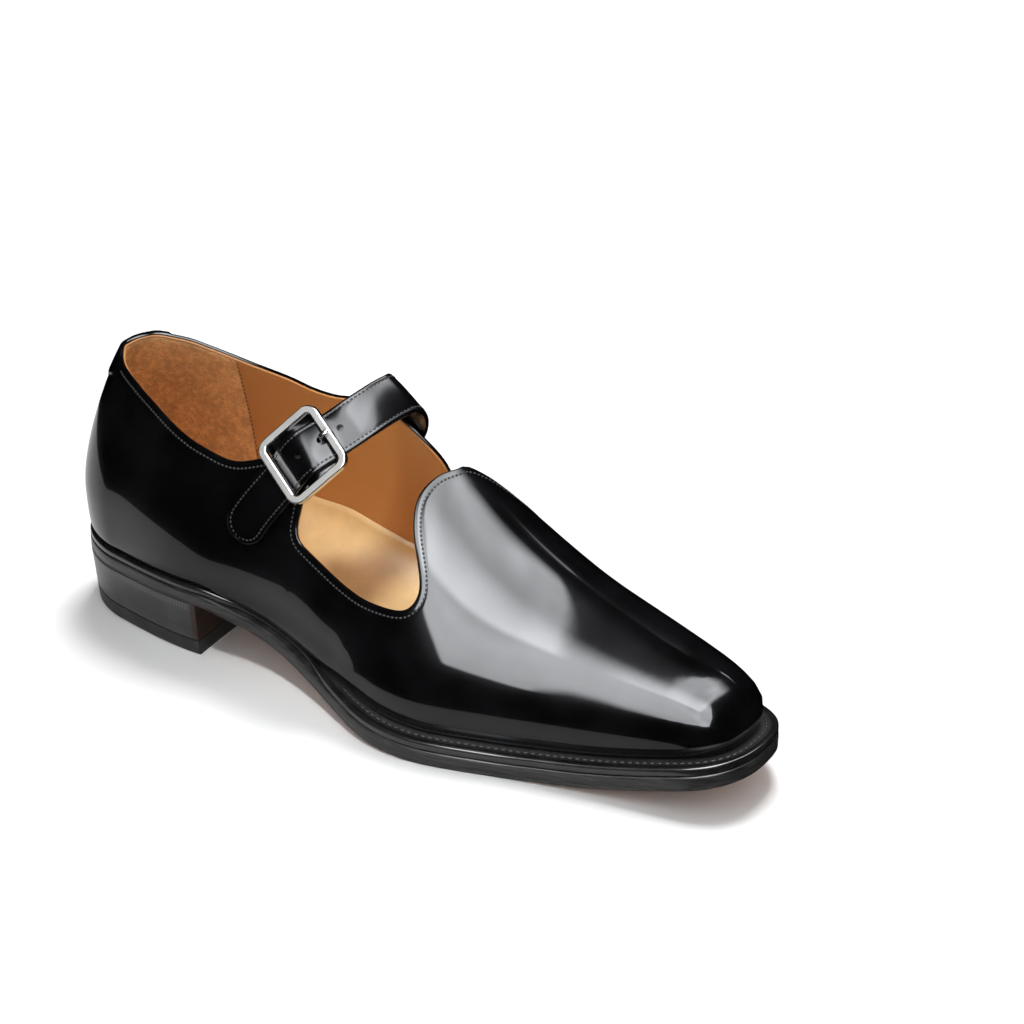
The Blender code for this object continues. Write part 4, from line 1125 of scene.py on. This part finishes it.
def sew_strap():
    strap = StrapRun()
    thick, width = sizes().strap_thickness, sizes().strap_width / 2
    inset = 1.7
    s = strap.stations(60, 300, strap.length - 0.8)
    w = strap.half_width(s)
    outline = np.concatenate([np.column_stack([s, w])[::-1], np.column_stack([s, -w])[1:]])
    run = unit(np.gradient(outline, axis=0))
    inner = outline + np.column_stack([-run[:, 1], run[:, 0]]) * inset
    if np.abs(inner[0, 1]) > np.abs(outline[0, 1]):
        inner = 2 * outline - inner
    inner = inner[inner[:, 0] > inset * 0.9]
    p, n = strap.at(inner[:, 0], inner[:, 1], thick * strap.thickness(inner[:, 0]) - 0.02)
    sew("strap_stitches", "strap", p, n, STRAP_PITCH)
    for k, back in enumerate((3.0, 4.8)):
        a = np.linspace(-width + 2.4, width - 2.4, 30)
        here = np.full(30, strap.length - back)
        p, n = strap.at(here, a, thick * strap.thickness(here) + 0.1)
        sew(f"strap_base_stitches_{k + 1}", "base", p, n, STRAP_PITCH)


def sew_welt():
    """Welt stitches from the waist round the toe."""
    sides = []
    for side in (-1, 1):
        line = side_line(side, lambda x: waist_tuck(side)(x) + WELT_CHANNEL, steps=900)
        line = line[line[:, 0] > WELT_SEWN_FROM]
        sides.append(np.column_stack([line, welt_top(line[:, 0]) - 0.25]))
    path = np.concatenate([sides[0], sides[1][::-1]])
    way = np.broadcast_to((0.0, 0.0, 1.0), path.shape)
    sew("welt_stitches", "welt", path, way, sizes().welt_pitch)


# --------------------------------------------------------------------------------- materials
class Value:
    """A shader socket that takes part in sums."""

    def __init__(self, shader, socket):
        self.shader, self.socket = shader, socket

    def sum(self, operation, *values):
        return self.shader.node("ShaderNodeMath", dict(operation=operation), dict(enumerate(values)))

    def __add__(self, other):
        return self.sum("ADD", self, other)

    __radd__ = __add__

    def __sub__(self, other):
        return self.sum("SUBTRACT", self, other)

    def __rsub__(self, other):
        return self.sum("SUBTRACT", other, self)

    def __mul__(self, other):
        return self.sum("MULTIPLY", self, other)

    __rmul__ = __mul__

    def wave(self):
        return self.sum("SINE", self)

    def ramp(self, low, high, first=0.0, last=1.0):
        """Smooth passage from first to last between low and high."""
        return self.shader.node("ShaderNodeMapRange", dict(interpolation_type="SMOOTHSTEP"),
                                {"Value": self, "From Min": low, "From Max": high,
                                 "To Min": first, "To Max": last})


class Nodes:
    """A node tree and the one way its nodes are made."""

    def __init__(self, tree):
        self.tree = tree

    def node(self, kind, settings=None, inputs=None, output=0):
        """A node with its settings made first, then its values or links."""
        node = self.tree.nodes.new(kind)
        for key, value in (settings or {}).items():
            setattr(node, key, value)
        for key, value in (inputs or {}).items():
            self.feed(node.inputs[key], value)
        return Value(self, node.outputs[output])

    def feed(self, socket, value):
        if isinstance(value, Value):
            self.tree.links.new(value.socket, socket)
        else:
            socket.default_value = value

    def parts(self, vector):
        node = self.tree.nodes.new("ShaderNodeSeparateXYZ")
        self.tree.links.new(vector.socket, node.inputs[0])
        return [Value(self, out) for out in node.outputs]


class Shader(Nodes):
    """A material and the nodes that lead to its Principled shader."""

    def __init__(self, name, colour, roughness, **fixed):
        self.made = bpy.data.materials.new(name)
        self.made.use_nodes = True
        super().__init__(self.made.node_tree)
        self.base = self.tree.nodes["Principled BSDF"]
        self.made.diffuse_color = (*colour, 1)
        self.made.roughness = roughness
        self.set("Base Color", (*colour, 1))
        self.set("Roughness", roughness)
        for key, value in fixed.items():
            self.set(key.replace("_", " ").title().replace("Ior", "IOR"), value)

    def set(self, key, value):
        self.feed(self.base.inputs[key], value)

    def finished(self, colour, roughness, relief=None, **more):
        """Links the varying inputs and hands the material over."""
        self.set("Base Color", colour)
        self.set("Roughness", roughness)
        if relief is not None:
            self.set("Normal", relief)
        for key, value in more.items():
            self.set(key.replace("_", " ").title(), value)
        return self.made

    def spot(self):
        return self.node("ShaderNodeTexCoord", output="Object")

    def uv(self):
        return self.parts(self.node("ShaderNodeTexCoord", output="UV"))

    def mark(self, name):
        return self.node("ShaderNodeAttribute", dict(attribute_name=name), output="Fac")

    def noise(self, vector, size, detail=3.0, rough=0.5, stretch=None):
        """Noise whose features are about size millimetres across."""
        if stretch:
            vector = self.node("ShaderNodeMapping", None, {"Vector": vector, "Scale": stretch})
        return self.node("ShaderNodeTexNoise", None, {"Vector": vector, "Scale": 1000.0 / size,
                                                     "Detail": detail, "Roughness": rough})

    def blend(self, share, first, last):
        """A colour between two others."""
        return self.node("ShaderNodeMix", dict(data_type="RGBA"),
                         {0: share, 6: first if isinstance(first, Value) else (*first, 1),
                          7: last if isinstance(last, Value) else (*last, 1)}, output=2)

    def bump(self, height, depth, below=None):
        """Relief of a height field, depth in millimetres for a rise of one."""
        inputs = {"Height": height, "Distance": depth * MM, "Strength": 1.0}
        if below is not None:
            inputs["Normal"] = below
        return self.node("ShaderNodeBump", None, inputs)


def tone(colour, share):
    return tuple(min(c * share, 1.0) for c in colour)


def calf(name, gloss, depth, wax=1.0):
    """Black box calf: fine pores under a wax coat whose roughness, relief and weight are given."""
    colour = tuple(finish().calf)
    s = Shader(name, colour, 0.26, coat_roughness=gloss, coat_ior=1.45, specular_ior_level=0.1)
    spot = s.spot()
    cloud, pores = s.noise(spot, 22, 3), s.noise(spot, 0.7, 4, 0.6)
    soft = s.bump(s.noise(spot, 11, 2), depth)
    folds = s.bump(s.noise(spot, 2.6, 3, 0.6), depth / 3, soft)
    return s.finished(s.blend(cloud.ramp(0.35, 0.7), tone(colour, 0.8), tone(colour, 1.9)),
                      0.12 + 0.1 * cloud + 0.06 * pores, s.bump(pores, 0.006, folds),
                      coat_weight=cloud.ramp(0.2, 0.7, 0.85 * wax, wax))


@cache
def calf_leather():
    return calf("black_box_calf", 0.04, 0.055)


@cache
def strap_calf():
    return calf("strap_calf", 0.13, 0.02, 0.68)


@cache
def lining_leather():
    """Tan calf lining, smooth, a little darker in its pores and where it is handled."""
    colour = tuple(finish().lining)
    s = Shader("tan_lining", colour, 0.5, specular_ior_level=0.4)
    spot = s.spot()
    cloud, fine = s.noise(spot, 14, 4, 0.6), s.noise(spot, 0.9, 5, 0.65)
    edge = s.mark("edge").ramp(0.25, 0.8)
    smooth = s.blend(cloud.ramp(0.3, 0.75), tone(colour, 0.86), tone(colour, 1.1))
    rubbed = s.blend(fine.ramp(0.45, 0.7), smooth, tone(colour, 0.72))
    return s.finished(s.blend(edge, tone(colour, 1.25), rubbed), 0.42 + 0.2 * cloud, s.bump(fine, 0.03))


@cache
def suede_lining():
    """Heel lining with its rough side out."""
    colour = tuple(finish().suede)
    s = Shader("rough_heel_lining", colour, 0.95, specular_ior_level=0.15)
    spot = s.spot()
    nap, tufts, cloud = s.noise(spot, 0.6, 5, 0.75), s.noise(spot, 2.4, 3, 0.7), s.noise(spot, 12, 3)
    low = s.blend(nap.ramp(0.3, 0.7), tone(colour, 0.55), tone(colour, 1.35))
    low = s.blend(cloud.ramp(0.35, 0.68), tone(colour, 0.7), low)
    return s.finished(s.blend(tufts.ramp(0.4, 0.72) * 0.55, low, tone(colour, 1.35)), 0.86 + 0.12 * nap,
                      s.bump(nap + tufts * 0.6, 0.16))


@cache
def sock_leather():
    """Smooth pale tan sock."""
    colour = tuple(finish().sock)
    s = Shader("tan_sock", colour, 0.42, specular_ior_level=0.4)
    spot = s.spot()
    cloud, fine = s.noise(spot, 18, 4, 0.55), s.noise(spot, 0.8, 5, 0.65)
    base = s.blend(cloud.ramp(0.3, 0.75), tone(colour, 0.9), tone(colour, 1.08))
    return s.finished(s.blend(fine.ramp(0.5, 0.75) * 0.5, base, tone(colour, 0.8)), 0.34 + 0.2 * cloud,
                      s.bump(fine, 0.02))


@cache
def sole_leather():
    """Outsole: black inked and burnished edge, brown grain leather below."""
    under = tuple(finish().sole)
    s = Shader("sole_leather", under, 0.4, coat_roughness=0.18, specular_ior_level=0.5)
    spot = s.spot()
    cloud, fibre = s.noise(spot, 16, 5, 0.6), s.noise(spot, 1.1, 4, 0.7)
    grain = s.noise(spot, 1.6, 3, 0.6, stretch=(0.12, 0.12, 2.2))
    below = s.mark("under").ramp(0.2, 0.8)
    brown = s.blend(cloud.ramp(0.3, 0.75), tone(under, 0.75), tone(under, 1.4))
    brown = s.blend(fibre.ramp(0.5, 0.75) * 0.4, brown, tone(under, 0.5))
    ink = s.blend(grain.ramp(0.35, 0.7), (0.009, 0.0088, 0.0088), (0.036, 0.034, 0.033))
    return s.finished(s.blend(below, ink, brown), 0.3 + 0.14 * grain + below * 0.12,
                      s.bump(grain * (1 - below) * 0.6 + fibre * below * 0.5, 0.05),
                      coat_weight=0.45 - below * 0.3)


@cache
def welt_leather():
    """Black welt: ink on its rim, fine wheel marks along the outer edge and a channel for the thread."""
    s = Shader("welt_leather", (0.01, 0.01, 0.01), 0.34, coat_roughness=0.16, specular_ior_level=0.5)
    spot, (u, _, _) = s.spot(), s.uv()
    off = s.mark("off")
    cloud, fine = s.noise(spot, 10, 4, 0.6), s.noise(spot, 0.8, 4, 0.65)
    rough = off.ramp(2.0, 3.2)
    strand = ((u * (2 * math.pi / (sizes().welt_pitch * MM))).wave() * 0.5 + 0.5) * rough
    base = s.blend(cloud.ramp(0.35, 0.75), (0.008, 0.0078, 0.0076), (0.02, 0.018, 0.017))
    return s.finished(s.blend(fine.ramp(0.4, 0.75) * rough, base, (0.035, 0.033, 0.032)),
                      0.2 + 0.1 * cloud + rough * 0.3,
                      s.bump(fine * (0.1 + 0.7 * rough) + strand * 0.3, 0.14), coat_weight=0.9 - rough * 0.7)


@cache
def heel_leather():
    """Stacked heel leather inked black: layers just showing, wheel marks by the seat, brown breast."""
    under = tuple(finish().sole)
    s = Shader("heel_leather", (0.01, 0.01, 0.01), 0.34, coat_roughness=0.14, specular_ior_level=0.5)
    spot, (u, _, _) = s.spot(), s.uv()
    x, _, z = s.parts(spot)
    cloud, fibre = s.noise(spot, 14, 4, 0.6), s.noise(spot, 1.2, 4, 0.7, stretch=(0.3, 0.3, 2.0))
    layers = ((z * (2 * math.pi / (HEEL_LAYER * MM))).wave() * 0.5 + 0.5).ramp(0.0, 0.035, 1.0, 0.0)
    seat = z.ramp(*SEAT_BAND)
    wheel = ((u * (2 * math.pi / (WHEEL_PITCH * MM))).wave() * 0.5 + 0.5).ramp(0.35, 0.85) * seat
    breast = x.ramp(*BREAST_FACE)
    ink = s.blend(cloud.ramp(0.35, 0.75), (0.026, 0.025, 0.025), (0.045, 0.043, 0.042))
    ink = s.blend(wheel * 0.6, ink, (0.09, 0.086, 0.082))
    return s.finished(s.blend(breast, ink, tone(under, 0.09)), 0.26 + 0.12 * cloud + fibre * 0.1,
                      s.bump(fibre * 0.22 - layers * 0.5 + wheel * 0.9, 0.08),
                      coat_weight=0.55 - breast * 0.4)


@cache
def lift_rubber():
    """Black rubber and leather top lift."""
    s = Shader("top_lift", (0.016, 0.016, 0.016), 0.42, coat_weight=0.2, coat_roughness=0.25)
    spot = s.spot()
    cloud, fine = s.noise(spot, 12, 4, 0.6), s.noise(spot, 0.7, 4, 0.7, stretch=(0.4, 0.4, 2.0))
    return s.finished(s.blend(cloud.ramp(0.35, 0.75), (0.012, 0.012, 0.012), (0.028, 0.027, 0.026)),
                      0.36 + 0.16 * cloud, s.bump(fine, 0.04))


@cache
def polished_steel():
    """Polished nickelled steel with the finest of wiping marks, and a painted highlight along the crown of
    each bar.
    """
    colour = tuple(finish().steel)
    s = Shader("polished_steel", colour, 0.16, metallic=1.0)
    spot = s.spot()
    cloud, lines = s.noise(spot, 6, 3), s.noise(spot, 0.5, 3, 0.6, stretch=(0.15, 1.0, 1.0))
    # painted highlight: along each bar's crown the steel is only half metallic, so its pale colour shows
    # there as diffuse light
    return s.finished(s.blend(cloud.ramp(0.3, 0.75), tone(colour, 0.9), colour),
                      0.15 + 0.08 * cloud + 0.06 * lines, s.bump(lines, 0.002),
                      metallic=1 - s.mark("crown").ramp(0.965, 0.99) * 0.5)


@cache
def thread(name):
    """Waxed twisted thread, black or toned from the leather that it sews."""
    lining, suede = tuple(finish().lining), tuple(finish().suede)
    dark, light, roughness = dict(
        black_thread=((0.006, 0.006, 0.0065), (0.03, 0.03, 0.032), 0.5),
        welt_thread=((0.01, 0.01, 0.01), (0.03, 0.029, 0.028), 0.5),
        tan_thread=(tone(lining, 0.8), tone(lining, 1.35), 0.6),
        brown_thread=(tone(suede, 0.1), tone(suede, 0.2), 0.8))[name]
    s = Shader(name, light, roughness)
    twist = s.noise(s.spot(), 0.35, 2)
    return s.finished(s.blend(twist.ramp(0.35, 0.7), dark, light), roughness + 0.15 * twist)


@cache
def floor_paint():
    """Pale seamless paper."""
    colour = tuple(finish().floor)
    s = Shader("studio_floor", colour, 0.6, specular_ior_level=0.2)
    s.set("Base Color", s.blend(s.noise(s.spot(), 400, 2).ramp(0.3, 0.7), tone(colour, 0.99), colour))
    return s.made


@cache
def card_paint():
    """Grey card that only shows low in the polished sides."""
    s = Shader("floor_card", (0.43, 0.43, 0.43), 0.9, specular_ior_level=0.1)
    s.set("Roughness", s.noise(s.spot(), 300, 2).ramp(0.3, 0.7, 0.85, 0.95))
    return s.made


# --------------------------------------------------------------------------------- stage
LIGHTS = (
    # name, place and aim in metres, width, height, turn, power, whether it lights surfaces or only shows
    # in their polish, soft rim at each side
    ("softbox_front", (0.42, -0.97, 1.13), (0.1, 0.0, 0.08), 1.25, 2.0, 0, 80, False,
     (0.06, 0.06, 0.05, 0.4)),
    ("softbox_overhead", (0.404, 0.11, 1.35), (0.404, 0.11, 0.0), 0.70, 2.62, -2.9, 50, False,
     (0.24, 0.1, 0.3, 0.09)),
    ("key", (-0.25, 0.95, 2.5), (0.0, 0.0, 0.0), 0.8, 0.8, 0, 66, True, None),
)
# place, half width and half depth of the grey cards that only show low in the polished sides
CARDS = (((-0.235, 0.0, 0.0001), 0.235, 0.125), ((0.045, -0.03, 0.0002), 0.09, 0.058))
SOFTBOX_TINT, WORLD_STRENGTH = (0.94, 0.965, 1.0), 0.62
CAMERA_AT, CAMERA_BACK, LENS = (0.447, -0.6309, 0.4697), (0.4779, -0.7473, 0.4617), 84.375
# lamp that lights the inside: place, aim, power and angle
SNOOT = ((0.06, -0.28, 0.75), (0.0, 0.0, 0.05), 16.0, 0.26)


def soft_rim(lamp, rim):
    """Fades a lamp towards its left, right, lower and upper sides."""
    lamp.use_nodes = True
    tree = Nodes(lamp.node_tree)
    place = tree.node("ShaderNodeNewGeometry", output="Parametric")
    u, v, _ = tree.parts(place)
    cloud = tree.node("ShaderNodeTexNoise", None, {"Vector": place, "Scale": 2.2, "Detail": 1.0})
    glow = u.ramp(0, rim[0]) * (1 - u).ramp(0, rim[1]) * v.ramp(0, rim[2]) * (1 - v).ramp(0, rim[3])
    glow = glow * cloud.ramp(0.3, 0.7, 0.84, 1.16)
    tree.feed(lamp.node_tree.nodes["Emission"].inputs["Strength"], glow)


def face(obj, back, turn=0.0):
    """Turns a lamp or camera so that its back points along a direction."""
    obj.rotation_mode = "QUATERNION"
    obj.rotation_quaternion = Vector(back).to_track_quat("Z", "Y") @ Quaternion((0, 0, 1), math.radians(turn))


def build_stage():
    """Pale floor, soft studio light and the camera."""
    deselect()
    bpy.ops.mesh.primitive_plane_add(size=14.0)
    floor = bpy.context.active_object
    floor.name = floor.data.name = "floor"
    floor.data.materials.append(floor_paint())
    floor.visible_glossy = False
    for k, (place, wide, deep) in enumerate(CARDS):
        bpy.ops.mesh.primitive_circle_add(vertices=96, radius=1.0, fill_type="NGON", location=place)
        card = bpy.context.active_object
        card.name = card.data.name = f"floor_card_{k + 1}"
        card.scale = (wide, deep, 1)
        bpy.ops.object.transform_apply(location=True, rotation=True, scale=True)
        card.data.materials.append(card_paint())
        card.visible_camera = card.visible_diffuse = card.visible_shadow = False
    bpy.ops.object.light_add(type="SPOT", location=SNOOT[0])
    snoot = bpy.context.active_object
    snoot.name = snoot.data.name = "snoot"
    snoot.data.energy, snoot.data.shadow_soft_size = SNOOT[2], 0.06
    snoot.data.spot_size, snoot.data.spot_blend = SNOOT[3], 0.6
    face(snoot, Vector(SNOOT[0]) - Vector(SNOOT[1]))
    snoot.visible_glossy = False
    for name, place, aim, wide, high, turn, power, lit, rim in LIGHTS:
        bpy.ops.object.light_add(type="AREA", location=place)
        lamp = bpy.context.active_object
        lamp.name = lamp.data.name = name
        lamp.data.shape, lamp.data.size, lamp.data.size_y, lamp.data.energy = "RECTANGLE", wide, high, power
        face(lamp, Vector(place) - Vector(aim), turn)
        lamp.visible_diffuse, lamp.visible_glossy = lit, not lit
        if not lit:
            lamp.data.color = SOFTBOX_TINT
        if rim:
            soft_rim(lamp.data, rim)
    world = bpy.data.worlds.new("studio")
    bpy.context.scene.world = world
    world.use_nodes = True
    sky = world.node_tree.nodes["Background"]
    sky.inputs["Color"].default_value = (1.0, 1.0, 1.0, 1)
    sky.inputs["Strength"].default_value = WORLD_STRENGTH
    world.cycles_visibility.glossy = False
    bpy.ops.object.camera_add(location=CAMERA_AT)
    camera = bpy.context.active_object
    face(camera, CAMERA_BACK)
    camera.data.lens, camera.data.sensor_width = LENS, 36.0
    camera.data.clip_start, camera.data.clip_end = 0.02, 60.0
    bpy.context.scene.camera = camera
    bpy.context.scene.view_settings.view_transform = "Standard"


# --------------------------------------------------------------------------------- operators
class SHOE_OT_upper(bpy.types.Operator):
    """Outer leather, its lining and the rough heel lining"""
    bl_idname, bl_label = "shoe.upper", "Upper and Lining"

    def execute(self, context):
        build_upper()
        build_lining()
        build_heel_lining()
        return {"FINISHED"}


class SHOE_OT_sole(bpy.types.Operator):
    """Outsole, welt, heel block and top lift"""
    bl_idname, bl_label = "shoe.sole", "Sole and Heel"

    def execute(self, context):
        build_outsole()
        build_welt()
        build_heel()
        return {"FINISHED"}


class SHOE_OT_sock(bpy.types.Operator):
    """Sock that covers the insole"""
    bl_idname, bl_label = "shoe.sock", "Sock"

    def execute(self, context):
        build_sock()
        return {"FINISHED"}


class SHOE_OT_strap(bpy.types.Operator):
    """Strap over the instep, with its holes"""
    bl_idname, bl_label = "shoe.strap", "Strap"

    def execute(self, context):
        build_strap()
        return {"FINISHED"}


class SHOE_OT_buckle(bpy.types.Operator):
    """Buckle frame, its bar, the prong and the leather below"""
    bl_idname, bl_label = "shoe.buckle", "Buckle"

    def execute(self, context):
        build_buckle()
        build_tab()
        return {"FINISHED"}


class SHOE_OT_stitches(bpy.types.Operator):
    """Stitches of the upper, the strap, the lining and the welt"""
    bl_idname, bl_label = "shoe.stitches", "Stitches"

    def execute(self, context):
        build_stitching()
        return {"FINISHED"}


class SHOE_OT_stage(bpy.types.Operator):
    """Floor, lights and camera"""
    bl_idname, bl_label = "shoe.stage", "Stage"

    def execute(self, context):
        build_stage()
        return {"FINISHED"}


OPERATORS = (SHOE_OT_upper, SHOE_OT_sole, SHOE_OT_sock, SHOE_OT_strap, SHOE_OT_buckle, SHOE_OT_stitches,
             SHOE_OT_stage)


class SHOE_PT_build(bpy.types.Panel):
    """Sizes, finish and build steps of the shoe"""
    bl_label, bl_idname = "Monk Strap Shoe", "SHOE_PT_build"
    bl_space_type, bl_region_type, bl_category = "VIEW_3D", "UI", "Shoe"

    def draw(self, context):
        for group in (context.scene.shoe_sizes, context.scene.shoe_finish):
            column = self.layout.column(align=True)
            for key in group.__annotations__:
                column.prop(group, key)
        for kind in OPERATORS:
            self.layout.operator(kind.bl_idname)


CLASSES = (ShoeSizes, ShoeFinish, *OPERATORS, SHOE_PT_build)


def register():
    for kind in CLASSES:
        bpy.utils.register_class(kind)
    bpy.types.Scene.shoe_sizes = bpy.props.PointerProperty(type=ShoeSizes)
    bpy.types.Scene.shoe_finish = bpy.props.PointerProperty(type=ShoeFinish)


def unregister():
    del bpy.types.Scene.shoe_finish, bpy.types.Scene.shoe_sizes
    for kind in reversed(CLASSES):
        bpy.utils.unregister_class(kind)


def main():
    register()
    for kind in OPERATORS:
        group, name = kind.bl_idname.split(".")
        getattr(getattr(bpy.ops, group), name)()


if __name__ == "__main__":
    main()
